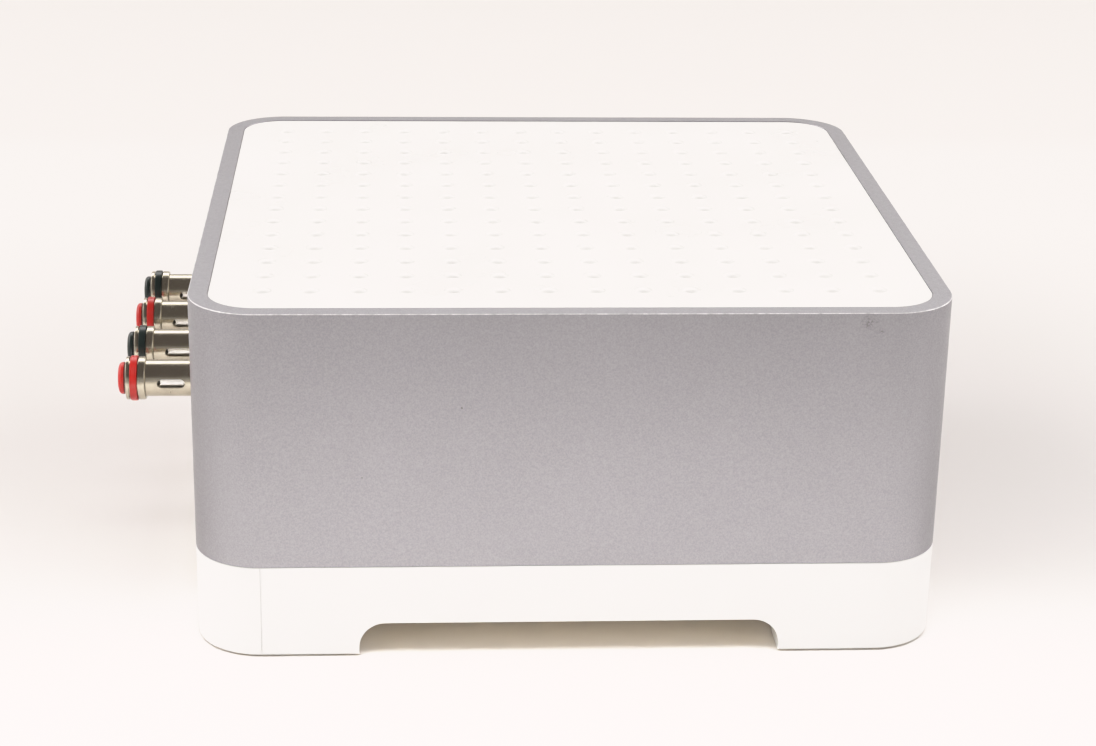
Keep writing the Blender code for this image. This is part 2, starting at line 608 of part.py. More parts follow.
# ---------------------------------------------------------------- rear connectors
def make_network_jacks():
    width, depth, height = LAN_SIZE
    face = PANEL_Y + CONNECTOR_PROUD
    middle_z = CONNECTOR_Z + height / 2
    shield = part("network_jack_shield", block(LAN_SIZE), STEEL, (LAN_X, face - depth / 2, middle_z))
    wall = LAN_SHIELD_WALL
    inner = (width - 2 * wall, depth, height - 2 * wall)
    cut(shield, tool(block(inner), (LAN_X, face - depth / 2 + wall, middle_z)))
    core_size = (inner[0] - 2 * GAP, depth - 2 * wall - GAP, inner[2] - 2 * GAP)
    core_y = face - wall - core_size[1] / 2
    core = part("network_jack_core", block(core_size), DARK_PLASTIC, (LAN_X, core_y, middle_z))
    port_width, port_height = LAN_PORT_SIZE
    latch_width, latch_height = LAN_LATCH_SIZE
    port_low = middle_z - (port_height + latch_height) / 2
    for side in (-1, 1):
        x = LAN_X + side * LAN_PORT_PITCH / 2
        port = block_between(
            (x - port_width / 2, face - LAN_PORT_DEPTH, port_low + latch_height),
            (x + port_width / 2, face + 0.01, port_low + latch_height + port_height),
        )
        latch = block_between(
            (x - latch_width / 2, face - LAN_PORT_DEPTH, port_low),
            (x + latch_width / 2, face + 0.011, port_low + latch_height + 0.001),
        )
        cut(core, tool(*port), tool(*latch))


def make_phono_jacks():
    width, depth, height = PHONO_BLOCK
    block_rear = PANEL_INNER_Y - GAP
    place = (PHONO_MIDDLE_X, block_rear - depth / 2, CONNECTOR_Z + height / 2)
    body = part("phono_jack_block", block(PHONO_BLOCK), DARK_PLASTIC, place)
    core_end = PANEL_Y + GAP + PHONO_SLEEVE_LENGTH - PHONO_FLANGE_THICKNESS
    sleeve_bore = PHONO_CORE_RADIUS + GAP
    flange_top = GAP + PHONO_FLANGE_THICKNESS
    sleeve = [
        (sleeve_bore, GAP), (sleeve_bore, GAP + PHONO_SLEEVE_LENGTH),
        (PHONO_SLEEVE_RADIUS, GAP + PHONO_SLEEVE_LENGTH), (PHONO_SLEEVE_RADIUS, flange_top),
        (PHONO_FLANGE_RADIUS, flange_top), (PHONO_FLANGE_RADIUS, GAP),
    ]
    for number, x in enumerate(PHONO_XS, 1):
        core_start = block_rear - depth / 2
        join(body, tool(rod(PHONO_CORE_RADIUS, core_end - core_start), (x, core_start, PHONO_Z), OUTWARDS))
        contact = rod(PHONO_CONTACT_RADIUS, PHONO_CONTACT_DEPTH + 0.01, SMALL_ROUND_STEPS)
        cut(body, tool(contact, (x, core_end - PHONO_CONTACT_DEPTH, PHONO_Z), OUTWARDS))
        place = (x, PANEL_Y, PHONO_Z)
        turn(part(f"phono_sleeve_{number}", profile_mesh(sleeve, closed=True), NICKEL, place, OUTWARDS))


def make_mains_inlet():
    width, depth, height = INLET_SIZE
    face = PANEL_Y + CONNECTOR_PROUD
    middle_z = CONNECTOR_Z + height / 2
    inlet = part("mains_inlet", block(INLET_SIZE), DARK_PLASTIC, (INLET_X, face - depth / 2, middle_z))
    recess_width, recess_depth, recess_height = INLET_RECESS
    recess = block(
        (recess_width, 2 * recess_depth, recess_height),
        radius=recess_height / 2 - 0.0001, along="Y", steps=SMALL_CORNER_STEPS + 2,
    )
    cut(inlet, tool(recess, (INLET_X, face, middle_z)))
    for number, side in enumerate((-1, 1), 1):
        x = INLET_X + side * INLET_PIN_PITCH / 2
        start = face - INLET_PIN_DROP - INLET_PIN_LENGTH
        cut(inlet, tool(rod(INLET_PIN_RADIUS + GAP, depth, SMALL_ROUND_STEPS), (x, start, middle_z), OUTWARDS))
        pin = rod(INLET_PIN_RADIUS, INLET_PIN_LENGTH, SMALL_ROUND_STEPS)
        part(f"mains_pin_{number}", pin, NICKEL, (x, start, middle_z), OUTWARDS)


# ---------------------------------------------------------------- front controls
def make_buttons():
    """Each button's own origin is on its line of travel, at the middle of its face."""
    wall_clear = BUTTON_PROUD + BAND_WALL + GAP
    face_y = FRONT_Y - BUTTON_PROUD
    cap_depth = wall_clear + BUTTON_FLANGE_THICKNESS / 2
    for name, x in zip(("mute_button", "volume_down_button", "volume_up_button"), BUTTON_XS):
        cap = block(
            (BUTTON_SIZE[0], cap_depth, BUTTON_SIZE[1]),
            radius=BUTTON_RADIUS, along="Y", steps=SMALL_CORNER_STEPS,
        )
        cap.transform(shift_y(cap_depth / 2))
        button = part(name, cap, WHITE, (x, face_y, CONTROL_Z))
        flange = block(
            (BUTTON_SIZE[0] + 2 * BUTTON_FLANGE, BUTTON_FLANGE_THICKNESS, BUTTON_SIZE[1] + 2 * BUTTON_FLANGE),
            radius=BUTTON_RADIUS, along="Y", steps=SMALL_CORNER_STEPS,
        )
        flange_y = face_y + wall_clear + BUTTON_FLANGE_THICKNESS / 2
        join(button, tool(flange, (x, flange_y, CONTROL_Z)))
        stem_size = (BUTTON_STEM[0], BUTTON_STEM[1] + BUTTON_FLANGE_THICKNESS / 2, BUTTON_STEM[2])
        join(button, tool(block(stem_size), (x, flange_y + stem_size[1] / 2, CONTROL_Z)))


def shift_y(distance):
    return Matrix.Translation((0, distance, 0))


def make_status_light():
    """A clear light pipe from the lamp on the button board to the front face."""
    board_y = BUTTON_BOARD_Y - GAP
    flange = BAND_WALL + GAP
    profile = [
        (0, 0), (LIGHT_RADIUS, 0), (LIGHT_RADIUS, -flange), (LIGHT_FLANGE_RADIUS, -flange),
        (LIGHT_FLANGE_RADIUS, -flange - BUTTON_FLANGE_THICKNESS), (LIGHT_RADIUS, -flange - BUTTON_FLANGE_THICKNESS),
        (LIGHT_RADIUS, -board_y), (0, -board_y),
    ]
    pipe = part("status_light", profile_mesh(profile), CLEAR, (LIGHT_X, FRONT_Y, CONTROL_Z), INWARDS)
    turn(pipe, SMALL_ROUND_STEPS)


def make_button_board():
    width, thickness, height = BUTTON_BOARD_SIZE
    front = FRONT_Y + BUTTON_BOARD_Y
    middle_x = BUTTON_MIDDLE_X - BUTTON_PITCH / 4
    board = part("button_board", block(BUTTON_BOARD_SIZE), CIRCUIT, (middle_x, front + thickness / 2, CONTROL_Z))
    stem_end = FRONT_Y + BAND_WALL + GAP + BUTTON_FLANGE_THICKNESS + BUTTON_STEM[1]
    actuator_end = stem_end + BUTTON_TRAVEL + GAP
    body_end = actuator_end + SWITCH_ACTUATOR
    for x in BUTTON_XS:
        body = block_between(
            (x - SWITCH_BODY / 2, body_end, CONTROL_Z - SWITCH_BODY / 2),
            (x + SWITCH_BODY / 2, front + thickness / 2, CONTROL_Z + SWITCH_BODY / 2),
        )
        actuator = rod(SWITCH_ACTUATOR_RADIUS, front - actuator_end, SMALL_ROUND_STEPS)
        join(board, tool(*body), tool(actuator, (x, actuator_end, CONTROL_Z), OUTWARDS))


# ---------------------------------------------------------------- inside the case
def make_boards():
    for name, (low_x, high_x) in (("power_board", POWER_BOARD_X), ("main_board", MAIN_BOARD_X)):
        shape = block_between((low_x, BOARD_FRONT_Y, BOARD_UNDER_Z), (high_x, BOARD_REAR_Y, BOARD_TOP_Z))
        board = part(name, *with_surface(shape, CIRCUIT))
        for x, y in standoff_places():
            if low_x < x < high_x:
                hole = rod(BOARD_HOLE_RADIUS, 3 * BOARD_THICKNESS, SMALL_ROUND_STEPS)
                cut(board, tool(hole, (x, y, BOARD_UNDER_Z - BOARD_THICKNESS)))


def make_power_supply():
    middle_x = sum(POWER_BOARD_X) / 2
    width, depth, height = TRANSFORMER
    place = (middle_x, TRANSFORMER_Y, CONNECTOR_Z + height / 2)
    core = part("transformer", block(TRANSFORMER), FERRITE, place)
    winding = (width - 2 * WINDING_BULGE, depth + 2 * WINDING_BULGE, height - 2 * WINDING_BULGE)
    join(core, tool(block(winding, radius=WINDING_BULGE, along="Z", steps=SMALL_CORNER_STEPS), place))
    for number, side in enumerate((-1, 1), 1):
        place = (middle_x + side * CAPACITOR_PITCH / 2, CAPACITOR_Y, CONNECTOR_Z)
        part(f"bulk_capacitor_{number}", rod(CAPACITOR_RADIUS, CAPACITOR_HEIGHT), CAPACITOR_SLEEVE, place)


def make_heat_sink():
    """A comb of upright fins on one base, as an extruded outline."""
    width, depth, height = HEAT_SINK
    pitch = (width - HEAT_SINK_FIN) / (HEAT_SINK_FINS - 1)
    outline = [(-width / 2, 0), (width / 2, 0)]
    for k in reversed(range(HEAT_SINK_FINS)):
        left = -width / 2 + k * pitch
        outline += [(left + HEAT_SINK_FIN, height), (left, height)]
        if k:
            outline += [(left, HEAT_SINK_BASE), (left - pitch + HEAT_SINK_FIN, HEAT_SINK_BASE)]
    curve = bpy.data.curves.new("comb", "CURVE")
    curve.dimensions = "2D"
    curve.fill_mode = "BOTH"
    curve.extrude = depth / 2
    spline = curve.splines.new("POLY")
    spline.points.add(len(outline) - 1)
    for point, (x, y) in zip(spline.points, outline):
        point.co = (x, y, 0, 1)
    spline.use_cyclic_u = True
    place = (sum(MAIN_BOARD_X) / 2, HEAT_SINK_Y, CONNECTOR_Z)
    part("heat_sink", curve, ALUMINIUM, place, (math.pi / 2, 0, 0))


def make_wireless_card():
    """A small radio card held above the main board by its edge socket, with a screening can on top."""
    x, y = sum(MAIN_BOARD_X) / 2, WIRELESS_CARD_Y
    width, depth, thickness = WIRELESS_CARD
    socket_height = WIRELESS_SOCKET[2]
    card_z = CONNECTOR_Z + socket_height - thickness / 2
    card = part("wireless_card", block(WIRELESS_CARD), CIRCUIT, (x, y, card_z + thickness / 2))
    socket_y = y - depth / 2 + WIRELESS_SOCKET[1] / 2 - 0.001
    join(card, tool(block(WIRELESS_SOCKET), (x, socket_y, CONNECTOR_Z + socket_height / 2)))
    can_z = card_z + thickness + WIRELESS_CAN[2] / 2 - 0.0002
    join(card, tool(block(WIRELESS_CAN), (x - width / 8, y, can_z)))


def make_antennas():
    """Two flat aerials held under the top cover, where the metal band doesn't screen them."""
    z = COVER_UNDER_Z - GAP - ANTENNA[2] / 2
    for number, side in enumerate((-1, 1), 1):
        place = (side * (SIDE_X / 2), side * (REAR_Y - ANTENNA_INSET), z)
        part(f"antenna_{number}", block(ANTENNA), CIRCUIT, place)


# ---------------------------------------------------------------- the whole amplifier
for old in list(bpy.data.objects):
    bpy.data.objects.remove(old)

parts = bpy.data.collections.new("network_amplifier")
tools = bpy.data.collections.new("tools")
bpy.context.scene.collection.children.link(parts)
bpy.context.scene.collection.children.link(tools)

case_frame = bpy.data.objects.new("case_frame", None)
case_frame.location = (0, -(POST_REACH - PANEL_RECESS) / 2 + BUTTON_PROUD / 2, 0)
parts.objects.link(case_frame)

ALUMINIUM = material("anodised_aluminium", (0.45, 0.43, 0.45), 0.42, 0.85)
WHITE = material("white_plastic", (0.86, 0.85, 0.83), 0.38)
RUBBER = material("grey_rubber", (0.22, 0.22, 0.22), 0.85)
STEEL = material("zinc_plated_steel", (0.60, 0.60, 0.58), 0.35, 1.0)
NICKEL = material("nickel_plate", (0.66, 0.62, 0.55), 0.2, 1.0)
RED = material("red_plastic", (0.62, 0.03, 0.02), 0.35)
BLACK = material("black_plastic", (0.02, 0.022, 0.02), 0.35)
DARK_PLASTIC = material("connector_plastic", (0.04, 0.04, 0.045), 0.5)
CLEAR = material("clear_plastic", (0.85, 0.87, 0.86), 0.1)
CIRCUIT = material("circuit_board", (0.03, 0.16, 0.07), 0.5)
FERRITE = material("ferrite", (0.08, 0.07, 0.06), 0.7)
CAPACITOR_SLEEVE = material("capacitor_sleeve", (0.03, 0.03, 0.12), 0.4)

make_side_band()
make_top_cover()
make_base_tray()
make_rear_panel()
make_foot_pads()
make_case_screws()
for post_number, post_x in enumerate(POST_XS, 1):
    make_speaker_post(post_number, post_x)
make_terminal_board()
make_network_jacks()
make_phono_jacks()
make_mains_inlet()
make_buttons()
make_status_light()
make_button_board()
make_boards()
make_power_supply()
make_heat_sink()
make_wireless_card()
make_antennas()
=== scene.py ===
import json
import math

import bmesh
import bpy
from mathutils import Matrix, Vector

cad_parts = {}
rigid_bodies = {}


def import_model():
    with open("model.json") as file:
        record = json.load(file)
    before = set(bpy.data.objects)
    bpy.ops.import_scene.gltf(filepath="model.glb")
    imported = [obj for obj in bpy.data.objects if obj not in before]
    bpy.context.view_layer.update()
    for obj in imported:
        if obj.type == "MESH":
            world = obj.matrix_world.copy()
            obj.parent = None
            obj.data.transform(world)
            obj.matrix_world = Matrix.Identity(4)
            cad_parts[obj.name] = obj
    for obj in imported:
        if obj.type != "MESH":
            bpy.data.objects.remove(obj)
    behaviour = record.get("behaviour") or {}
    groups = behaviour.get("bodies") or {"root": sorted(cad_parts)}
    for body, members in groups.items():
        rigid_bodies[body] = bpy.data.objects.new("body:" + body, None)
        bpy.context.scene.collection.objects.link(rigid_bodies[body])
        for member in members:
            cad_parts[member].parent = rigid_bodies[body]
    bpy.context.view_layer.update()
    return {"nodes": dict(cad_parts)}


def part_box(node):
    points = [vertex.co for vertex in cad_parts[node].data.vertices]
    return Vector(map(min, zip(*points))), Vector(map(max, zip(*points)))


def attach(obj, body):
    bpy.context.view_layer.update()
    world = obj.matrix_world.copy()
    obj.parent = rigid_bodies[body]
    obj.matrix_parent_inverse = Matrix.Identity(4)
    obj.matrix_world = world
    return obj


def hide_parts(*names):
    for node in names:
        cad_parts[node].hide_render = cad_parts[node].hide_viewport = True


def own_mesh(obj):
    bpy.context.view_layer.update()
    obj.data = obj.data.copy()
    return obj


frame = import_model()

MM = 0.001

# ---------------------------------------------------------------- places read from the CAD
BAND_LOW, BAND_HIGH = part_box("side_band")
COVER_LOW, COVER_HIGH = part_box("top_cover")
BASE_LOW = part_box("base_tray")[0]
PANEL_LOW, PANEL_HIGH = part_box("rear_panel")
CENTRE_Y = (BAND_LOW.y + BAND_HIGH.y) / 2
HALF = (BAND_HIGH.x - BAND_LOW.x) / 2
TOP = BAND_HIGH.z
SEAM = BAND_LOW.z
POSTS = (1, 2, 3, 4)
PHONOS = (1, 2, 3)
FEET = (1, 2, 3, 4)

# ---------------------------------------------------------------- sizes that the CAD nodes were made with
CORNER = 16.5 * MM
BAND_WALL = 2.2 * MM
RIM_WIDTH = 4.8 * MM
RIM_THICKNESS = 2.5 * MM
GAP = 0.3 * MM
ARCH_TOP = 9.0 * MM
ARCH_RADIUS = 6.5 * MM
FOOT_WIDTH = 40.5 * MM
PANEL_LAP = 3.0 * MM
BUTTON_HALF_X = 6.0 * MM
BUTTON_HALF_Z = 2.75 * MM
BUTTON_CORNER = 2.6 * MM
SPRING_TURNS = 5
SPRING_WIRE_RADIUS = 0.3 * MM
SPRING_COIL_RADIUS = 2.3 * MM

# ---------------------------------------------------------------- sizes that only this script sets
COVER_GAP = 0.02 * MM
COVER_LIFT = 0.15 * MM
DOTS = 14
DOT_PITCH = 11.51 * MM
DOT_RADIUS = 2.3 * MM
DOT_HEIGHT = 0.7 * MM
DOT_SHIFT = 0.4 * MM  # the grid of dots sits a little towards +X
SEAM_GAP = 0.03 * MM
FOOT_LIFT = 0.25 * MM
PARTING_Y = 65.1 * MM
PARTING_WIDTH = 0.22 * MM
PARTING_DEPTH = 0.2 * MM
# each mark is its place in mm, its radius in mm and its strength
RUBBED_MARKS = [
    ((-92.5, -80.4, 87.0), 2.4, 0.45), ((-92.5, -83.5, 84.8), 0.9, 0.6), ((-92.5, 16.3, 65.7), 0.32, 0.85),
    ((-92.5, 15.3, 54.9), 0.28, 0.5), ((-92.5, 40.2, 47.8), 0.3, 0.6), ((-92.5, -91.8, 82.5), 0.35, 0.6),
]


def middle(node):
    low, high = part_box(node)
    return (low + high) / 2


# ---------------------------------------------------------------- materials
def new_material(name):
    made = bpy.data.materials.new(name)
    made.use_nodes = True
    nodes = made.node_tree.nodes
    return made, nodes, made.node_tree.links, nodes["Principled BSDF"]


def noise(nodes, links, coords, scale, detail=3.0, roughness=0.5):
    node = nodes.new("ShaderNodeTexNoise")
    node.inputs["Scale"].default_value = scale
    node.inputs["Detail"].default_value = detail
    node.inputs["Roughness"].default_value = roughness
    links.new(coords, node.inputs["Vector"])
    return node.outputs["Fac"]


def ramp(nodes, links, value, stops, interpolation="LINEAR"):
    node = nodes.new("ShaderNodeValToRGB")
    node.color_ramp.interpolation = interpolation
    elements = node.color_ramp.elements
    while len(elements) < len(stops):
        elements.new(0.5)
    for element, (place, colour) in zip(elements, stops):
        element.position = place
        element.color = (*colour, 1.0) if len(colour) == 3 else colour
    links.new(value, node.inputs["Fac"])
    return node.outputs["Color"]


def grey(v):
    return (v, v, v)


def scaled(nodes, links, value, low, high, from_low=0.0, from_high=1.0):
    node = nodes.new("ShaderNodeMapRange")
    node.inputs["From Min"].default_value = from_low
    node.inputs["From Max"].default_value = from_high
    node.inputs["To Min"].default_value = low
    node.inputs["To Max"].default_value = high
    links.new(value, node.inputs["Value"])
    return node.outputs["Result"]


def smooth(nodes, links, value, low, high):
    """A soft step from 0 to 1, or from 1 to 0 where low is above high."""
    node = nodes.new("ShaderNodeMapRange")
    node.interpolation_type = "SMOOTHSTEP"
    rising = low < high
    node.inputs["From Min"].default_value = low if rising else high
    node.inputs["From Max"].default_value = high if rising else low
    node.inputs["To Min"].default_value = 0.0 if rising else 1.0
    node.inputs["To Max"].default_value = 1.0 if rising else 0.0
    links.new(value, node.inputs["Value"])
    return node.outputs["Result"]


def calculated(nodes, links, operation, *values):
    node = nodes.new("ShaderNodeMath")
    node.operation = operation
    for value, socket in zip(values, node.inputs):
        if hasattr(value, "node"):
            links.new(value, socket)
        else:
            socket.default_value = value
    return node.outputs[0]


def bump(nodes, links, shader, height, strength, distance, previous=None):
    node = nodes.new("ShaderNodeBump")
    node.inputs["Strength"].default_value = strength
    node.inputs["Distance"].default_value = distance
    links.new(height, node.inputs["Height"])
    if previous is not None:
        links.new(previous, node.inputs["Normal"])
    links.new(node.outputs["Normal"], shader.inputs["Normal"])
    return node.outputs["Normal"]


def object_coords(nodes):
    return nodes.new("ShaderNodeTexCoord").outputs["Object"]


def mixed(nodes, links, factor, first, second, blend="MIX"):
    node = nodes.new("ShaderNodeMix")
    node.data_type = "RGBA"
    node.blend_type = blend
    for value, socket in ((factor, 0), (first, 6), (second, 7)):
        if hasattr(value, "node"):
            links.new(value, node.inputs[socket])
        else:
            node.inputs[socket].default_value = value if socket == 0 else (*value, 1.0)
    return node.outputs[2]


def scuffed(nodes, links, coords, colour, marks):
    """Darkens the colour at a few small rubbed marks with ragged outlines."""
    ragged = noise(nodes, links, coords, 1500, 3.0, 0.6)
    torn = scaled(nodes, links, ragged, 0.0, 1.6, 0.42, 0.62)
    for place, radius, strength in marks:
        away = nodes.new("ShaderNodeVectorMath")
        away.operation = "DISTANCE"
        links.new(coords, away.inputs[0])
        away.inputs[1].default_value = [v * MM for v in place]
        near = scaled(nodes, links, away.outputs["Value"], strength, 0.0, 0.0, radius * MM)
        amount = calculated(nodes, links, "MULTIPLY", near, torn)
        colour = mixed(nodes, links, amount, colour, (0.10, 0.095, 0.08))
    return colour


def blasted_metal(name, colour, marks=(), grain=1.0, roughness=0.42):
    """Bead-blasted, anodised aluminium: a fine sparkle, faint clouds and a few rubbed marks."""
    made, nodes, links, shader = new_material(name)
    coords = object_coords(nodes)
    grains = noise(nodes, links, coords, 2600, 2.0, 0.7)
    coarse = noise(nodes, links, coords, 900, 2.0, 0.6)
    clouds = noise(nodes, links, coords, 22, 3.0, 0.55)
    dark = tuple(c * (1 - 0.10 * grain) for c in colour)
    light = tuple(c * (1 + 0.10 * grain) for c in colour)
    grain_colour = ramp(nodes, links, grains, [(0.32, dark), (0.5, colour), (0.68, light)])
    cloud_colour = ramp(nodes, links, clouds, [(0.3, grey(0.965)), (0.7, grey(1.0))])
    clean = mixed(nodes, links, 1.0, grain_colour, cloud_colour, "MULTIPLY")
    rough = scaled(nodes, links, coarse, roughness - 0.05, roughness + 0.05, 0.3, 0.7)
    links.new(scuffed(nodes, links, coords, clean, marks), shader.inputs["Base Color"])
    links.new(rough, shader.inputs["Roughness"])
    shader.inputs["Metallic"].default_value = 1.0
    first = bump(nodes, links, shader, coarse, 0.10 * grain, 0.00004)
    bump(nodes, links, shader, grains, 0.25 * grain, 0.00002, first)
    return made


def moulded_plastic(name, colour, roughness, texture=0.1, subsurface=0.0, mottle=0.02, scale=1800):
    """Moulded plastic: a fine spark-eroded skin, with roughness and tone that wander a little."""
    made, nodes, links, shader = new_material(name)
    coords = object_coords(nodes)
    skin = noise(nodes, links, coords, scale, 3.0, 0.6)
    wander = noise(nodes, links, coords, 35, 3.0, 0.5)
    low = tuple(c * (1 - mottle) for c in colour)
    rough = scaled(nodes, links, wander, roughness - 0.04, roughness + 0.05, 0.3, 0.7)
    links.new(ramp(nodes, links, wander, [(0.3, low), (0.7, colour)]), shader.inputs["Base Color"])
    links.new(rough, shader.inputs["Roughness"])
    if subsurface:
        shader.inputs["Subsurface Weight"].default_value = subsurface
        shader.inputs["Subsurface Radius"].default_value = (1.0, 0.9, 0.8)
        shader.inputs["Subsurface Scale"].default_value = 0.0015
    bump(nodes, links, shader, skin, texture, 0.00003)
    return made


def plated_metal(name, colour, roughness, scratch=0.1):
    """Plated or drawn metal with faint turning marks and a few dull patches."""
    made, nodes, links, shader = new_material(name)
    coords = object_coords(nodes)
    fine = noise(nodes, links, coords, 3000, 2.0, 0.6)
    patches = noise(nodes, links, coords, 260, 4.0, 0.6)
    dull = tuple(c * 0.86 for c in colour)
    rough = scaled(nodes, links, patches, roughness + 0.09, roughness - 0.03, 0.3, 0.65)
    links.new(ramp(nodes, links, patches, [(0.35, dull), (0.6, colour)]), shader.inputs["Base Color"])
    links.new(rough, shader.inputs["Roughness"])
    shader.inputs["Metallic"].default_value = 1.0
    bump(nodes, links, shader, fine, scratch, 0.00002)
    return made


def circuit_material():
    """Green solder mask with darker tracks under it."""
    made, nodes, links, shader = new_material("circuit_mask")
    voronoi = nodes.new("ShaderNodeTexVoronoi")
    voronoi.distance = "MANHATTAN"
    voronoi.inputs["Scale"].default_value = 260
    links.new(object_coords(nodes), voronoi.inputs["Vector"])
    cells = voronoi.outputs["Distance"]
    tracks = ramp(nodes, links, cells, [(0.30, (0.012, 0.075, 0.03)), (0.36, (0.02, 0.13, 0.05))])
    links.new(tracks, shader.inputs["Base Color"])
    shader.inputs["Roughness"].default_value = 0.35
    bump(nodes, links, shader, cells, 0.1, 0.00003)
    return made


def edge_with_painted_highlight():
    """The band's machined outer edge, where the blasting has left bare bright metal in places; its pale,
    partly diffuse colour is also a painted highlight that keeps the chamfer bright whatever it reflects.
    """
    made, nodes, links, shader = new_material("cut_aluminium_edge_painted_highlight")
    broken = noise(nodes, links, object_coords(nodes), 420, 3.0, 0.7)
    colour = ramp(nodes, links, broken, [(0.35, (0.5, 0.485, 0.5)), (0.65, (0.88, 0.86, 0.87))])
    links.new(colour, shader.inputs["Base Color"])
    links.new(scaled(nodes, links, broken, 0.5, 0.35, 0.35, 0.65), shader.inputs["Roughness"])
    shader.inputs["Metallic"].default_value = 0.7
    bump(nodes, links, shader, broken, 0.15, 0.00003)
    return made


ALUMINIUM = blasted_metal("blasted_aluminium", (0.362, 0.354, 0.375), RUBBED_MARKS)
# the chamfer's colour: partly bare metal, partly a painted highlight
EDGE_PAINTED_HIGHLIGHT = edge_with_painted_highlight()
SINK_METAL = blasted_metal("extruded_aluminium", (0.5, 0.49, 0.5), grain=0.6, roughness=0.35)
COVER_WHITE = moulded_plastic("cover_white", (0.955, 0.943, 0.927), 0.3, 0.04, subsurface=0.05)
# painted warm light in the shade under the base: a brighter, tan copy of the base's white for the faces
# inside the tunnels
BASE_PAINTED_WARM_SHADE = moulded_plastic("base_white_painted_warm_shade", (0.96, 0.86, 0.67), 0.5, 0.2)
BASE_WHITE = moulded_plastic("base_white", (0.742, 0.739, 0.736), 0.34, 0.04, subsurface=0.15)
PANEL_WHITE = moulded_plastic("panel_white", (0.80, 0.795, 0.785), 0.5, 0.5, 0.05, 0.03, 1300)
BUTTON_WHITE = moulded_plastic("button_white", (0.80, 0.795, 0.79), 0.4, 0.08, subsurface=0.1)
MARK_GREY = moulded_plastic("mark_grey", (0.12, 0.12, 0.125), 0.55, 0.05)
PAD_RUBBER = moulded_plastic("pad_rubber", grey(0.19), 0.85, 0.5, mottle=0.15, scale=900)
POST_RED = moulded_plastic("post_red", (0.52, 0.02, 0.015), 0.3, 0.05, subsurface=0.1, mottle=0.06)
POST_BLACK = moulded_plastic("post_black", (0.011, 0.019, 0.017), 0.3, 0.05, mottle=0.1)
CONNECTOR_BLACK = moulded_plastic("connector_black", (0.03, 0.03, 0.032), 0.45, 0.3, mottle=0.1)
PHONO_WHITE = moulded_plastic("phono_white", (0.78, 0.77, 0.75), 0.4)
PHONO_RED = moulded_plastic("phono_red", (0.6, 0.03, 0.03), 0.4)
NICKEL = plated_metal("post_nickel", (0.56, 0.51, 0.41), 0.2)
SATIN_NICKEL = plated_metal("satin_nickel", (0.93, 0.91, 0.87), 0.35)
BRIGHT_NICKEL = plated_metal("bright_nickel", (0.72, 0.70, 0.66), 0.14)
ZINC = plated_metal("zinc_steel", (0.62, 0.62, 0.60), 0.3)
SHIELD = plated_metal("tinned_shield", (0.68, 0.68, 0.66), 0.24)
GOLD = plated_metal("gold_contact", (0.83, 0.60, 0.24), 0.2)
CIRCUIT = circuit_material()
FERRITE = moulded_plastic("transformer_core", (0.07, 0.062, 0.055), 0.65, 0.4, mottle=0.2, scale=700)
SLEEVE = moulded_plastic("capacitor_sleeve", (0.02, 0.022, 0.08), 0.35, 0.05, mottle=0.1)
LIGHT_PIPE = moulded_plastic("light_pipe", (0.72, 0.75, 0.74), 0.18, 0.02, subsurface=0.4)
LED_GREEN = moulded_plastic("jack_light_green", (0.12, 0.42, 0.14), 0.25, 0.02, subsurface=0.2)
LED_AMBER = moulded_plastic("jack_light_amber", (0.62, 0.33, 0.05), 0.25, 0.02, subsurface=0.2)


# ---------------------------------------------------------------- mesh helpers
def finish_mesh(mesh, angle=30):
    mesh.shade_smooth()
    mesh.set_sharp_from_angle(angle=math.radians(angle))
    return mesh


def to_mesh(bm, name):
    bmesh.ops.recalc_face_normals(bm, faces=bm.faces)
    mesh = bpy.data.meshes.new(name)
    bm.to_mesh(mesh)
    bm.free()
    return mesh


def outline(half_x, half_y, radius, steps=24):
    """A rounded rectangle about the origin, anticlockwise."""
    points = []
    for quarter, (sx, sy) in enumerate(((1, 1), (-1, 1), (-1, -1), (1, -1))):
        for k in range(steps + 1):
            angle = math.pi / 2 * (quarter + k / steps)
            x = sx * (half_x - radius) + radius * math.cos(angle)
            y = sy * (half_y - radius) + radius * math.sin(angle)
            points.append((x, y))
    return points


def quarter_turn(steps):
    """The angles of a quarter turn."""
    return [math.pi / 2 * k / steps for k in range(steps + 1)]


def loft(name, loops, closed=False):
    """Skins a list of point loops. Its two ends are capped, or joined to each other."""
    bm = bmesh.new()
    rings = [[bm.verts.new(p) for p in loop] for loop in loops]
    pairs = list(zip(rings, rings[1:]))
    if closed:
        pairs.append((rings[-1], rings[0]))
    else:
        bm.faces.new(rings[0])
        bm.faces.new(rings[-1])
    for low, high in pairs:
        for k in range(len(low)):
            n = (k + 1) % len(low)
            bm.faces.new((low[k], low[n], high[n], high[k]))
    return to_mesh(bm, name)


def case_loft(name, profile, closed=False, steps=28):
    """Carries a profile of (inset, z) round the case's outline."""
    loops = []
    for inset, z in profile:
        radius = max(CORNER - inset, 0.5 * MM)
        ring = outline(HALF - inset, HALF - inset, radius, steps)
        loops.append([(x, CENTRE_Y + y, z) for x, y in ring])
    return loft(name, loops, closed)


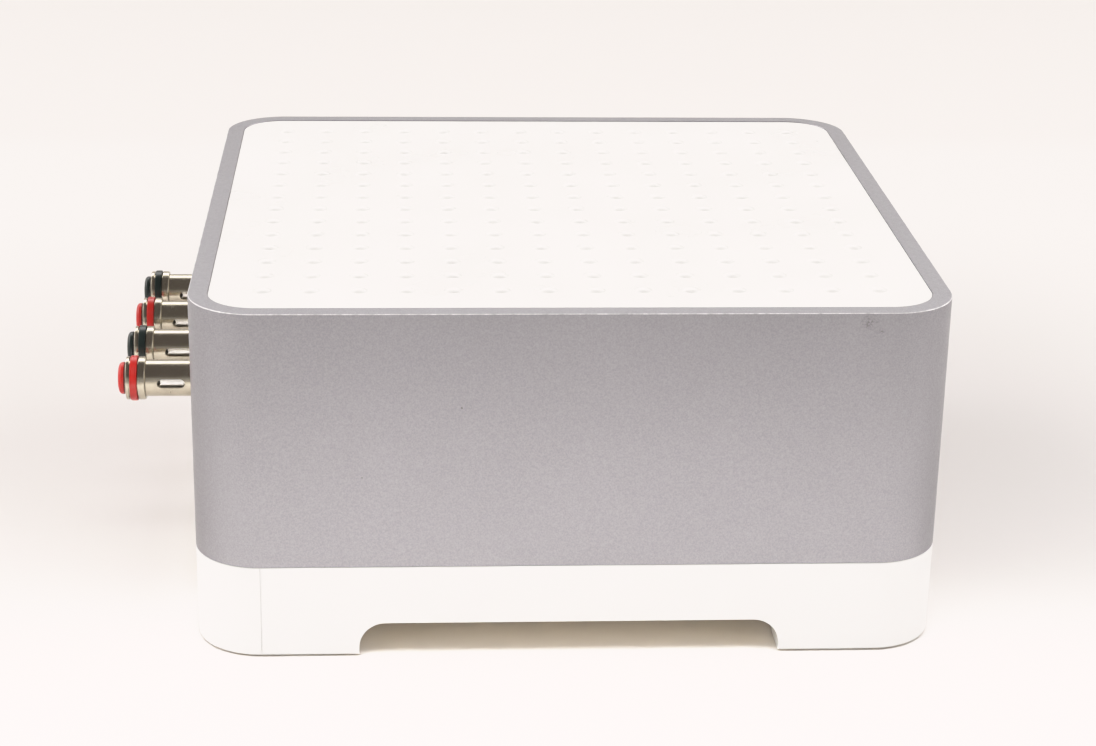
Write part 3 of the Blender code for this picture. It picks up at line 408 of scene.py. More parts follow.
def slab(name, low, high, radius, along="Z", edge=0.0, steps=10, edge_steps=3):
    """A box between two corners with its edges along one axis rounded, and its two ends' rims filleted."""
    a, b, c = {"X": (1, 2, 0), "Y": (2, 0, 1), "Z": (0, 1, 2)}[along]
    centre = [(l + h) / 2 for l, h in zip(low, high)]
    half_a, half_b = (high[a] - low[a]) / 2, (high[b] - low[b]) / 2
    profile = [(edge, low[c]), (edge, high[c])]
    if edge:
        arc = quarter_turn(edge_steps)
        profile = [(edge * (1 - math.sin(t)), low[c] + edge * (1 - math.cos(t))) for t in arc]
        profile += [(edge * (1 - math.cos(t)), high[c] - edge * (1 - math.sin(t))) for t in arc]
    loops = []
    for inset, height in profile:
        loop = []
        for p, q in outline(half_a - inset, half_b - inset, max(radius - inset, 0.02 * MM), steps):
            point = [0, 0, 0]
            point[a], point[b], point[c] = centre[a] + p, centre[b] + q, height
            loop.append(tuple(point))
        loops.append(loop)
    return loft(name, loops)


def lathe(name, profile, steps=48, closed=False):
    """Turns (radius, height) points round the Z axis; a point on the axis closes the end."""
    bm = bmesh.new()
    rows = []
    for radius, height in profile:
        if radius < 1e-7:
            rows.append([bm.verts.new((0, 0, height))])
            continue
        angles = [2 * math.pi * k / steps for k in range(steps)]
        rows.append([bm.verts.new((radius * math.cos(t), radius * math.sin(t), height)) for t in angles])
    pairs = list(zip(rows, rows[1:]))
    if closed:
        pairs.append((rows[-1], rows[0]))
    for low, high in pairs:
        for k in range(steps):
            n = (k + 1) % steps
            corners = [low[k % len(low)], low[n % len(low)], high[n % len(high)], high[k % len(high)]]
            unique = list(dict.fromkeys(corners))
            if len(unique) > 2:
                bm.faces.new(unique)
    return to_mesh(bm, name)


OUTWARDS = Matrix.Rotation(-math.pi / 2, 4, "X")  # +Z becomes +Y
SIDEWAYS = Matrix.Rotation(math.pi / 2, 4, "Y")  # +Z becomes +X


def placed(mesh, place, turn=Matrix.Identity(4)):
    mesh.transform(Matrix.Translation(place) @ turn)
    return mesh


def turned(name, profile, place, steps, closed=False):
    """A lathe of a profile in mm whose axis points out of the rear panel."""
    return placed(lathe(name, [(r * MM, h * MM) for r, h in profile], steps, closed), place, OUTWARDS)


def rod(name, radius, low, high, steps):
    """An upright rod, in mm."""
    profile = [(0, low), (radius, low), (radius, high), (0, high)]
    return lathe(name, [(r * MM, h * MM) for r, h in profile], steps)


def merged(name, meshes):
    bm = bmesh.new()
    for mesh in meshes:
        bm.from_mesh(mesh)
        bpy.data.meshes.remove(mesh)
    made = bpy.data.meshes.new(name)
    bm.to_mesh(made)
    bm.free()
    return made


def cut_mesh(mesh, *cutters, operation="DIFFERENCE"):
    """The mesh after exact Booleans with each of the cutters."""
    scene = bpy.context.scene
    target = bpy.data.objects.new("target", mesh)
    scene.collection.objects.link(target)
    made = [target]
    for cutter in cutters:
        obj = bpy.data.objects.new("cutter", cutter)
        scene.collection.objects.link(obj)
        made.append(obj)
        modifier = target.modifiers.new("cut", "BOOLEAN")
        modifier.operation = operation
        modifier.object = obj
    graph = bpy.context.evaluated_depsgraph_get()
    result = bpy.data.meshes.new_from_object(target.evaluated_get(graph))
    result.name = mesh.name
    for obj in made:
        bpy.data.objects.remove(obj)
    return result


def piece(name, mesh, surface, body="housing", replaces=(), angle=30, second=None):
    """Adds a mesh as a piece that rides a body. A second surface goes on the faces that its test picks."""
    finish_mesh(mesh, angle)
    mesh.materials.clear()
    mesh.materials.append(surface)
    if second:
        other, picks = second
        mesh.materials.append(other)
        for face in mesh.polygons:
            face.material_index = int(picks(face))
    obj = bpy.data.objects.new(name, mesh)
    bpy.context.scene.collection.objects.link(obj)
    modifier = obj.modifiers.new("flat_faces", "WEIGHTED_NORMAL")
    modifier.keep_sharp = True
    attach(obj, body)
    if replaces:
        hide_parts(*replaces)
    return obj


def paint(node, surface):
    obj = frame["nodes"][node]
    obj.data.materials.clear()
    obj.data.materials.append(surface)


# ---------------------------------------------------------------- the case
def make_band():
    edge = 0.1 * MM
    chamfer = 0.17 * MM
    inner_edge = 0.12 * MM
    through = 5 * MM
    profile = [
        (edge, SEAM), (0, SEAM + edge), (0, TOP - chamfer), (chamfer * 0.25, TOP - chamfer * 0.32),
        (chamfer, TOP), (RIM_WIDTH - inner_edge, TOP), (RIM_WIDTH, TOP - inner_edge),
        (RIM_WIDTH, TOP - RIM_THICKNESS), (BAND_WALL, TOP - RIM_THICKNESS), (BAND_WALL, SEAM),
    ]
    band = case_loft("side_band_shell", profile, closed=True)
    lap = PANEL_LAP - GAP
    low = (PANEL_LOW.x + lap, BAND_HIGH.y - through, PANEL_LOW.z + lap)
    high = (PANEL_HIGH.x - lap, BAND_HIGH.y + through, PANEL_HIGH.z - lap)
    cutters = [slab("window", low, high, 5 * MM, "Y")]
    for name in ("mute_button", "volume_down_button", "volume_up_button"):
        place = middle(name)
        half_x, half_z = BUTTON_HALF_X + GAP, BUTTON_HALF_Z + GAP
        low = (place.x - half_x, BAND_LOW.y - 3 * MM, place.z - half_z)
        high = (place.x + half_x, BAND_LOW.y + 3 * MM, place.z + half_z)
        cutters.append(slab("button_hole", low, high, BUTTON_CORNER + GAP, "Y"))
    light = middle("status_light")
    cutters.append(placed(rod("light_hole", 1.8, -3, 3, 32), (light.x, BAND_LOW.y, light.z), OUTWARDS))
    band = cut_mesh(band, *cutters)

    def on_chamfer(face):
        tilted = 0.15 < face.normal.z < 0.97
        return tilted and face.center.z > TOP - chamfer and outside(face.center, chamfer)

    # The chamfer takes the edge colour with its painted highlight.
    return piece(
        "side_band_shell", band, ALUMINIUM, replaces=["side_band"],
        angle=12, second=(EDGE_PAINTED_HIGHLIGHT, on_chamfer),
    )


def outside(point, depth):
    """True within a depth of the case's outer outline."""
    x, y = abs(point.x), abs(point.y - CENTRE_Y)
    core = HALF - CORNER
    if x > core and y > core:
        return math.hypot(x - core, y - core) > CORNER - depth
    return max(x, y) > HALF - depth


def dot_profile():
    """A dot's section from its foot, which sinks into the plate, to its crown."""
    rise = [
        (1.06, -0.06), (1.02, 0.0), (0.95, 0.1), (0.87, 0.26), (0.75, 0.48), (0.6, 0.69),
        (0.42, 0.86), (0.22, 0.96), (0, 1.0),
    ]
    return [(r * DOT_RADIUS, z * DOT_HEIGHT) for r, z in rise]


def make_cover():
    plug = RIM_WIDTH + COVER_GAP
    ledge = RIM_WIDTH - 1.9 * MM
    skirt = plug + 4 * MM
    top = COVER_HIGH.z + COVER_LIFT
    low = COVER_LOW.z
    ledge_top = TOP - RIM_THICKNESS - GAP
    rounding = 0.15 * MM
    profile = [(skirt, top - 2.2 * MM), (skirt, low), (ledge, low), (ledge, ledge_top), (plug, ledge_top)]
    profile += [
        (plug + rounding * (1 - math.cos(t)), top - rounding * (1 - math.sin(t))) for t in quarter_turn(4)
    ]
    meshes = [case_loft("top_cover_plate", profile)]
    for row in range(DOTS):
        for column in range(DOTS):
            x = (column - (DOTS - 1) / 2) * DOT_PITCH + DOT_SHIFT
            y = (row - (DOTS - 1) / 2) * DOT_PITCH
            meshes.append(placed(lathe("dot", dot_profile(), 24), (x, CENTRE_Y + y, top)))
    return piece(
        "top_cover_shell", merged("top_cover_shell", meshes), COVER_WHITE,
        replaces=["top_cover"], angle=40,
    )


def channel(name, along, rounding):
    """The tunnel under the base, as the shape to cut away, with rounded upper corners."""
    half = HALF - FOOT_WIDTH
    reach = HALF + 5 * MM
    low = [-half, -half, -ARCH_TOP]
    high = [half, half, ARCH_TOP]
    axis = "XY".index(along)
    low[axis], high[axis] = -reach, reach
    low[1] += CENTRE_Y
    high[1] += CENTRE_Y
    return slab(name, low, high, rounding, along, steps=16)


def make_base():
    foot = BASE_LOW.z + FOOT_LIFT
    top = SEAM - SEAM_GAP
    wall = 2.5 * MM
    foot_round, top_round = 0.8 * MM, 0.4 * MM
    arc = quarter_turn(4)
    profile = [(foot_round * (1 - math.sin(t)), foot + foot_round * (1 - math.cos(t))) for t in arc]
    profile += [(top_round * (1 - math.cos(t)), top - top_round * (1 - math.sin(t))) for t in arc]
    profile += [(wall, top), (wall, ARCH_TOP + wall)]
    base = case_loft("base_shell", profile)
    cutters = [channel("tunnel_x", "X", ARCH_RADIUS), channel("tunnel_y", "Y", ARCH_RADIUS)]
    for side in (-1, 1):
        blade = side * (HALF + MM - PARTING_DEPTH)
        low = (blade - MM, PARTING_Y - PARTING_WIDTH / 2, BASE_LOW.z - MM)
        high = (blade + MM, PARTING_Y + PARTING_WIDTH / 2, SEAM + MM)
        cutters.append(slab("parting", low, high, 0.02 * MM, "Z", steps=1))
    for number in FEET:
        pad = middle(f"foot_pad_{number}")
        cutters.append(placed(rod("recess", 7.3, -2, 1.2, 48), (pad.x, pad.y, 0)))
        screw = middle(f"case_screw_{number}")
        cutters.append(placed(rod("well", 3.2, -2, 14, 32), (screw.x, screw.y, 0)))
    base = cut_mesh(base, *cutters)
    bm = bmesh.new()
    bm.from_mesh(base)
    edges = [e for e in bm.edges if arch_edge(e)]
    bmesh.ops.bevel(
        bm, geom=edges, offset=0.3 * MM, segments=2, profile=0.5, affect="EDGES", clamp_overlap=True,
    )
    bm.to_mesh(base)
    bm.free()

    def within(face):
        """True on the undersides and tops inside the shell, such as the roofs of the tunnels, which take the
        painted warm shade.
        """
        inner = not outside(face.center, 0.9 * MM) and face.center.z < SEAM - 0.5 * MM
        return inner and abs(face.normal.z) > 0.3

    # The faces inside take the tan copy: painted warm light in the shade under the arches.
    return piece(
        "base_shell", base, BASE_WHITE, replaces=["base_tray"],
        angle=32, second=(BASE_PAINTED_WARM_SHADE, within),
    )


def arch_edge(edge):
    """True for an edge where a tunnel breaks out through the case's side."""
    if len(edge.link_faces) != 2 or edge.calc_face_angle(0) < math.radians(50):
        return False
    lowest, highest = BASE_LOW.z + 0.5 * MM, ARCH_TOP + 0.01 * MM
    for vert in edge.verts:
        x, y = abs(vert.co.x), abs(vert.co.y - CENTRE_Y)
        if max(x, y) < HALF - 0.01 * MM or not lowest <= vert.co.z <= highest:
            return False
    return True


def make_panel():
    face = PANEL_HIGH.y
    inset = PANEL_LAP + GAP
    low = (PANEL_LOW.x + inset, face - 2 * MM, PANEL_LOW.z + inset)
    high = (PANEL_HIGH.x - inset, face, PANEL_HIGH.z - inset)
    plug = slab("rear_panel_shell", low, high, 4.7 * MM, "Y", edge=0.25 * MM)
    cutters = []
    for name in ("network_jack_shield", "mains_inlet"):
        box_low, box_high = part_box(name)
        low = (box_low.x - GAP, face - 6 * MM, box_low.z - GAP)
        high = (box_high.x + GAP, face + 6 * MM, box_high.z + GAP)
        cutters.append(slab("opening", low, high, 0.3 * MM, "Y", steps=4))
    holes = [(f"phono_sleeve_{number}", 3.5) for number in PHONOS]
    holes += [(f"post_barrel_{number}", 3.7) for number in POSTS]
    for node, radius in holes:
        place = middle(node)
        cutters.append(placed(rod("hole", radius, -9, 9, 40), (place.x, face, place.z), OUTWARDS))
    plug = cut_mesh(plug, *cutters)
    return piece("rear_panel_shell", plug, PANEL_WHITE, replaces=["rear_panel"])


def make_feet():
    edge = 0.25 * MM
    dish = 0.12 * MM
    for number in FEET:
        node = f"foot_pad_{number}"
        pad = middle(node)
        low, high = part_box(node)
        radius = (high.x - low.x) / 2
        profile = [
            (0, low.z + dish), (radius * 0.55, low.z + dish), (radius * 0.6, low.z), (radius - edge, low.z),
            (radius - edge * 0.3, low.z + edge * 0.3), (radius, low.z + edge), (radius, high.z), (0, high.z),
        ]
        mesh = placed(lathe("foot_pad", profile, 48), (pad.x, pad.y, 0))
        piece(f"foot_pad_turned_{number}", mesh, PAD_RUBBER, replaces=[node])
        paint(f"case_screw_{number}", ZINC)


# ---------------------------------------------------------------- speaker posts
# The profiles and lengths of a post are in mm, along its axis from the rear panel's face.
BARREL_RADIUS, BARREL_NECK, BARREL_BORE = 5.6, 4.75, 3.95
GROOVE_RADIUS, HEAD_BORE = 4.9, 4.45
STEM_RADIUS, STEM_FOOT = 3.7, 6.0
CAP_RADIUS, RING_RADIUS = 4.15, 5.85


def on_panel(node):
    """The place on the rear panel's face where a node's axis crosses it."""
    low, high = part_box(node)
    return Vector(((low.x + high.x) / 2, PANEL_HIGH.y, (low.z + high.z) / 2))


def along_post(node, place):
    """Where a node starts and ends along its post, in mm."""
    low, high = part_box(node)
    return (low.y - place.y) / MM, (high.y - place.y) / MM


def make_post(number):
    place = on_panel(f"post_barrel_{number}")
    colour, slot_name = (POST_RED, "post_red") if number % 2 else (POST_BLACK, "post_black")
    make_barrel(number, place)
    ring = turned("ring", ring_profile(*along_post(f"post_ring_{number}", place)), place, 64, closed=True)
    piece(f"post_ring_turned_{number}", ring, colour, replaces=[f"post_ring_{number}"])
    cap = turned("cap", cap_profile(*along_post(f"post_cap_{number}", place)), place, 56)
    piece(f"post_cap_turned_{number}", cap, colour, f"plunger_{number}", [f"post_cap_{number}"])
    make_stem(number, place)
    make_spring(number, place)
    paint(f"post_nut_{number}", NICKEL)


def make_barrel(number, place):
    end = along_post(f"post_barrel_{number}", place)[1]
    head = end - 5.1
    groove_high = end - 0.8
    groove_low = groove_high - 2.5
    fillet = 0.18
    flange_low, flange_high, flange_round = 0.3, 1.5, 0.15
    profile = [
        (0, -5.5), (2.9, -5.5), (2.9, 2.2), (BARREL_BORE, 2.2), (BARREL_BORE, end - 4.7),
        (HEAD_BORE, end - 4.7), (HEAD_BORE, end - fillet), (HEAD_BORE + fillet * 0.4, end - fillet * 0.1),
        (BARREL_RADIUS - fillet, end), (BARREL_RADIUS - fillet * 0.3, end - fillet * 0.3),
        (BARREL_RADIUS, end - fillet), (BARREL_RADIUS, groove_high), (GROOVE_RADIUS, groove_high),
        (GROOVE_RADIUS, groove_low), (BARREL_RADIUS, groove_low), (BARREL_RADIUS, head + 0.5),
        (5.45, head + 0.14), (5.1, head), (BARREL_NECK, head), (BARREL_NECK, flange_high + 0.12),
        (BARREL_NECK + flange_round, flange_high), (BARREL_RADIUS - flange_round, flange_high),
        (BARREL_RADIUS, flange_high - flange_round), (BARREL_RADIUS, flange_low), (3.4, flange_low),
        (3.4, -7.7), (1.2, -7.7), (1.2, -10.8), (1.0, -11.0), (0, -11.0),
    ]
    barrel = lathe("barrel", [(r * MM, h * MM) for r, h in profile], 64)
    slot = slab("slot", (-9 * MM, -1.2 * MM, 6.1 * MM), (9 * MM, 1.2 * MM, 13.2 * MM), 1.19 * MM, "X")
    barrel = placed(cut_mesh(barrel, slot), place, OUTWARDS)
    piece(
        f"post_barrel_turned_{number}", barrel, NICKEL,
        replaces=[f"post_barrel_{number}"], angle=28,
    )


def ring_profile(start, end):
    return [
        (5.2, start), (5.2, end), (5.55, end), (RING_RADIUS - 0.08, end - 0.1), (RING_RADIUS, end - 0.35),
        (RING_RADIUS, start + 0.35), (RING_RADIUS - 0.08, start + 0.1), (5.55, start),
    ]


def cap_profile(under, end):
    return [
        (0, end), (1.6, end - 0.02), (2.9, end - 0.14), (3.55, end - 0.32), (3.95, end - 0.62),
        (4.13, end - 0.95), (CAP_RADIUS, end - 1.2), (CAP_RADIUS, under + 0.1), (4.05, under), (0, under),
    ]


def make_stem(number, place):
    end = along_post(f"post_plunger_{number}", place)[1]
    profile = [
        (0, end), (STEM_RADIUS - 0.1, end), (STEM_RADIUS, end - 0.1), (STEM_RADIUS, STEM_FOOT + 0.2),
        (STEM_RADIUS - 0.2, STEM_FOOT), (0, STEM_FOOT),
    ]
    stem = lathe("stem", [(r * MM, h * MM) for r, h in profile], 40)
    hole = placed(rod("hole", 1.2, -5, 5, 28), (0, 0, 13.6 * MM), SIDEWAYS)
    stem = placed(cut_mesh(stem, hole), place, OUTWARDS)
    piece(
        f"post_plunger_turned_{number}", stem, SATIN_NICKEL, f"plunger_{number}",
        [f"post_plunger_{number}"],
    )


def make_spring(number, place):
    """The spring as a coiled wire between the CAD spring's ends. The whole coil rides the housing with the
    barrel, so its outer end doesn't go in with the stem.
    """
    low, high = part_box(f"post_spring_{number}")
    start, end = low.y + SPRING_WIRE_RADIUS, high.y - SPRING_WIRE_RADIUS
    turn_steps = 24
    steps = SPRING_TURNS * turn_steps
    curve = bpy.data.curves.new("spring", "CURVE")
    curve.dimensions = "3D"
    curve.bevel_depth = SPRING_WIRE_RADIUS
    curve.bevel_resolution = 3
    curve.use_fill_caps = True
    spline = curve.splines.new("POLY")
    spline.points.add(steps)
    for k, point in enumerate(spline.points):
        angle = 2 * math.pi * k / turn_steps
        x = place.x + SPRING_COIL_RADIUS * math.cos(angle)
        z = place.z + SPRING_COIL_RADIUS * math.sin(angle)
        point.co = (x, start + (end - start) * k / steps, z, 1)
    source = bpy.data.objects.new("spring_source", curve)
    bpy.context.scene.collection.objects.link(source)
    graph = bpy.context.evaluated_depsgraph_get()
    mesh = bpy.data.meshes.new_from_object(source.evaluated_get(graph))
    bpy.data.objects.remove(source)
    spring = piece(
        f"post_spring_wire_{number}", mesh, ZINC, replaces=[f"post_spring_{number}"],
    )
    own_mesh(spring)


# ---------------------------------------------------------------- rear connectors
def make_network_jacks():
    low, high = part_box("network_jack_shield")
    mid_x, mid_z = (low.x + high.x) / 2, (low.z + high.z) / 2
    sheet = 0.5 * MM
    shell = slab("shield", low, high, 0.5 * MM, "Y", edge=0.12 * MM, steps=5)
    inner_low = (low.x + sheet, low.y + sheet, low.z + sheet)
    inner_high = (high.x - sheet, high.y + 5 * MM, high.z - sheet)
    inner = slab("inner", inner_low, inner_high, 0.2 * MM, "Y", steps=4)
    piece(
        "network_jack_shield_formed", cut_mesh(shell, inner), SHIELD,
        replaces=["network_jack_shield"],
    )
    core_low, core_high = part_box("network_jack_core")
    core = slab("core", core_low, core_high, 0.3 * MM, "Y", edge=0.15 * MM, steps=4)
    port_low = mid_z - 5.05 * MM
    openings, contacts, lights = [], [], {-1: [], 1: []}
    for port in (-1, 1):
        x = mid_x + port * 7.75 * MM
        openings += jack_openings(x, high.y, port_low)
        contacts += jack_contacts(x, high.y, port_low)
        for side in (-1, 1):
            lights[side].append(jack_light(x + side * 5.0 * MM, core_high))
    piece(
        "network_jack_core_moulded", cut_mesh(core, *openings), CONNECTOR_BLACK,
        replaces=["network_jack_core"],
    )
    piece("network_jack_contacts", merged("contacts", contacts), GOLD)
    piece("network_jack_lights_green", merged("greens", lights[-1]), LED_GREEN)
    piece("network_jack_lights_amber", merged("ambers", lights[1]), LED_AMBER)


def jack_openings(x, face, low_z):
    """One port's opening and the notch for its latch, as shapes to cut away."""
    back = face - 13 * MM
    port_low = (x - 5.9 * MM, back, low_z + 2.6 * MM)
    port_high = (x + 5.9 * MM, face + 9 * MM, low_z + 10.1 * MM)
    latch_low = (x - 3 * MM, back, low_z)
    latch_high = (x + 3 * MM, face + 9.5 * MM, low_z + 3.6 * MM)
    return [
        slab("port", port_low, port_high, 0.3 * MM, "Y", steps=4),
        slab("latch", latch_low, latch_high, 0.3 * MM, "Y", steps=4),
    ]


def jack_contacts(x, face, low_z):
    """The eight sprung wires in one port."""
    pitch = 1.02 * MM
    back, front = face - 12.6 * MM, face - 3.5 * MM
    foot, tip = low_z + 7.2 * MM, low_z + 9.95 * MM
    wires = []
    for k in range(8):
        wire_x = x + (k - 3.5) * pitch
        points = [(wire_x, back, foot), (wire_x, back + 1.2 * MM, foot - 0.1 * MM), (wire_x, front, tip)]
        wires.append(wire(points, 0.19 * MM))
    return wires


def jack_light(x, corner):
    """A small window at the top of a port, by the front upper corner of the moulding."""
    low = (x - 1.1 * MM, corner.y - 0.6 * MM, corner.z - 1.35 * MM)
    high = (x + 1.1 * MM, corner.y + 0.25 * MM, corner.z - 0.15 * MM)
    return slab("light", low, high, 0.25 * MM, "Y", edge=0.1 * MM, steps=4, edge_steps=2)


def wire(points, radius, steps=8):
    """A bent wire of round section through a few points."""
    points = [Vector(p) for p in points]
    rings = []
    for k, point in enumerate(points):
        ahead = points[min(k + 1, len(points) - 1)] - points[max(k - 1, 0)]
        side = ahead.cross(Vector((1, 0, 0))).normalized()
        other = ahead.cross(side).normalized()
        angles = [2 * math.pi * i / steps for i in range(steps)]
        rings.append([tuple(point + radius * (math.cos(t) * side + math.sin(t) * other)) for t in angles])
    return loft("wire", rings)


def make_phono_jacks():
    sleeve = [
        (3.5, 0.3), (3.5, 8.5), (3.6, 8.6), (3.95, 8.6), (4.15, 8.4), (4.15, 2.1), (4.3, 1.3),
        (5.2, 1.3), (5.4, 1.15), (5.4, 0.3),
    ]
    insert = [(1.75, 7.45), (1.75, 7.75), (1.9, 7.85), (3.05, 7.85), (3.2, 7.7), (3.2, 7.45)]
    contact = [(1.2, 2.0), (1.2, 7.2), (1.35, 7.35), (1.5, 7.2), (1.5, 2.0)]
    for number, colour in zip(PHONOS, (PHONO_WHITE, PHONO_RED, CONNECTOR_BLACK)):
        node = f"phono_sleeve_{number}"
        place = on_panel(node)
        mesh = turned("sleeve", sleeve, place, 56, closed=True)
        piece(f"phono_sleeve_turned_{number}", mesh, BRIGHT_NICKEL, replaces=[node])
        mesh = turned("insert", insert, place, 40, closed=True)
        piece(f"phono_insert_{number}", mesh, colour)
        mesh = turned("contact", contact, place, 24, closed=True)
        piece(f"phono_contact_{number}", mesh, GOLD)
    paint("phono_jack_block", CONNECTOR_BLACK)


def make_mains_inlet():
    low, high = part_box("mains_inlet")
    mid_x, mid_z = (low.x + high.x) / 2, (low.z + high.z) / 2
    half_x, half_z, depth = 7 * MM, 4.2 * MM, 12 * MM
    pin_offset = 4.3 * MM
    body = slab("inlet", low, high, 0.6 * MM, "Y", edge=0.3 * MM, steps=5)
    recess_low = (mid_x - half_x, high.y - depth, mid_z - half_z)
    recess_high = (mid_x + half_x, high.y + depth, mid_z + half_z)
    cutters = [slab("recess", recess_low, recess_high, 4.15 * MM, "Y", steps=14)]
    for side in (-1, 1):
        place = (mid_x + side * pin_offset, high.y - 6 * MM, mid_z)
        cutters.append(placed(rod("hole", 1.5, -20, 5, 24), place, OUTWARDS))
    piece(
        "mains_inlet_moulded", cut_mesh(body, *cutters), CONNECTOR_BLACK,
        replaces=["mains_inlet"],
    )
    for number in (1, 2):
        node = f"mains_pin_{number}"
        pin_low, pin_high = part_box(node)
        length = (pin_high.y - pin_low.y) / MM
        profile = [
            (0, 0), (1.2, 0), (1.2, length - 1.0), (1.1, length - 0.5), (0.85, length - 0.15),
            (0.4, length), (0, length),
        ]
        place = ((pin_low.x + pin_high.x) / 2, pin_low.y, (pin_low.z + pin_high.z) / 2)
        mesh = turned("pin", profile, place, 28)
        piece(f"mains_pin_turned_{number}", mesh, BRIGHT_NICKEL, replaces=[node])


# ---------------------------------------------------------------- front controls
def make_buttons():
    for name in ("mute", "volume_down", "volume_up"):
        node = f"{name}_button"
        low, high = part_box(node)
        x, z = (low.x + high.x) / 2, (low.z + high.z) / 2
        cap = slab(
            "cap", (x - BUTTON_HALF_X, low.y, z - BUTTON_HALF_Z),
            (x + BUTTON_HALF_X, low.y + 3.4 * MM, z + BUTTON_HALF_Z),
            BUTTON_CORNER, "Y", edge=0.3 * MM, steps=14,
        )
        flange = slab(
            "flange", (low.x, low.y + 2.95 * MM, low.z), (high.x, low.y + 4.05 * MM, high.z),
            BUTTON_CORNER, "Y", steps=8,
        )
        stem = slab(
            "stem", (x - 2 * MM, low.y + 3.5 * MM, z - 1.5 * MM), (x + 2 * MM, high.y, z + 1.5 * MM),
            0.2 * MM, "Y", steps=4,
        )
        body = f"{name}_key"
        piece(f"{node}_cap", merged(node, [cap, flange, stem]), BUTTON_WHITE, body, [node])
        piece(f"{node}_mark", button_mark(name, x, low.y, z), MARK_GREY, body)


def make_status_light():
    low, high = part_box("status_light")
    place = Vector(((low.x + high.x) / 2, low.y, (low.z + high.z) / 2))
    length = (high.y - low.y) / MM
    profile = [
        (0, 0.02), (0.9, 0.06), (1.3, 0.16), (1.5, 0.35), (1.5, 2.5), (2.2, 2.5), (2.2, 3.7), (1.5, 3.7),
        (1.5, length), (0, length),
    ]
    mesh = turned("pipe", profile, place, 40)
    piece("status_light_pipe", mesh, LIGHT_PIPE, replaces=["status_light"])


def button_mark(name, x, y, z):
    """A raised plus, minus or slanted sound-off bar on a button's face."""
    size, width, proud, sunk = 1.15 * MM, 0.16 * MM, 0.03 * MM, 0.05 * MM

    def bar(half_x, half_z):
        low, high = (x - half_x, y - proud, z - half_z), (x + half_x, y + sunk, z + half_z)
        return slab("bar", low, high, 0.1 * MM, "Y", steps=3)

    bars = [bar(size, width)]
    if name == "volume_up":
        bars.append(bar(width, size))
    if name == "mute":
        there, back = Matrix.Translation((x, 0, z)), Matrix.Translation((-x, 0, -z))
        bars[0].transform(there @ Matrix.Rotation(math.radians(45), 4, "Y") @ back)
    return merged("mark", bars)


# ---------------------------------------------------------------- what is inside
def dress_inside():
    boards = ("main_board", "power_board", "terminal_board", "button_board", "wireless_card")
    for node in (*boards, "antenna_1", "antenna_2"):
        paint(node, CIRCUIT)
    paint("heat_sink", SINK_METAL)
    paint("transformer", FERRITE)
    for node in ("bulk_capacitor_1", "bulk_capacitor_2"):
        paint(node, SLEEVE)


# ---------------------------------------------------------------- floor
FLOOR_REACH = 7.0
# the sweep's section as (x, z): a flat table that rises into a wall behind the case
SWEEP = [
    (-7.0, 0.0), (0.36, 0.0), (0.40, 0.0012), (0.6, 0.004), (1.6, 0.02), (2.4, 0.2), (3.0, 0.8), (3.2, 2.2),
]
WALL_STARTS, WALL_FULL = 0.37, 0.41
TABLE_LOW, TABLE_HIGH = (0.865, 0.838, 0.822), (0.88, 0.853, 0.837)
# painted shade on the paper far in front of the case, which the band reflects
FRONT_PAINTED_SHADE = (0.52, 0.50, 0.49)
WALL_COLOUR = (0.86, 0.825, 0.805)
# painted shadow on the paper beside the case, darker on the right side
PAINTED_SHADOW_LEFT, PAINTED_SHADOW_RIGHT = (0.785, 0.745, 0.73), (0.72, 0.69, 0.68)


def make_stage():
    bm = bmesh.new()
    previous = None
    for x, z in SWEEP:
        pair = [bm.verts.new((x, -FLOOR_REACH, z)), bm.verts.new((x, FLOOR_REACH, z))]
        if previous:
            bm.faces.new((previous[0], pair[0], pair[1], previous[1]))
        previous = pair
    mesh = to_mesh(bm, "sweep")
    mesh.shade_smooth()
    mesh.materials.append(paper_material())
    floor = bpy.data.objects.new("sweep", mesh)
    bpy.context.scene.collection.objects.link(floor)


def paper_material():
    """Warm white paper, with a painted shadow on each side of the case and painted shade far in front of it.
    """
    made, nodes, links, shader = new_material("paper_sweep")
    coords = object_coords(nodes)
    soft = noise(nodes, links, coords, 3.0, 2.0, 0.5)
    split = nodes.new("ShaderNodeSeparateXYZ")
    links.new(coords, split.inputs["Vector"])
    x, y, _ = split.outputs

    def step(value, low, high):
        return smooth(nodes, links, value, low, high)

    def both(first, second):
        return calculated(nodes, links, "MULTIPLY", first, second)

    away = calculated(nodes, links, "ABSOLUTE", y)
    along = both(step(x, -0.13, -0.03), step(x, 0.3, 0.1))
    beside = both(step(away, 0.08, 0.1), step(away, 0.32, 0.1))
    table = ramp(nodes, links, soft, [(0.3, TABLE_LOW), (0.7, TABLE_HIGH)])
    # Painted shadow: the paper on each side of the case is darkened in place of the case's soft shadow.
    shade = mixed(nodes, links, step(y, 0.05, -0.05), PAINTED_SHADOW_LEFT, PAINTED_SHADOW_RIGHT)
    table = mixed(nodes, links, both(along, beside), table, shade)
    # Painted shade: from x = -0.17 m towards the front, the paper fades to a darker colour.
    table = mixed(nodes, links, step(x, -0.17, -0.5), table, FRONT_PAINTED_SHADE)
    paper = mixed(nodes, links, step(x, WALL_STARTS, WALL_FULL), table, WALL_COLOUR)
    links.new(paper, shader.inputs["Base Color"])
    shader.inputs["Roughness"].default_value = 0.9
    shader.inputs["Specular IOR Level"].default_value = 0.1
    return made


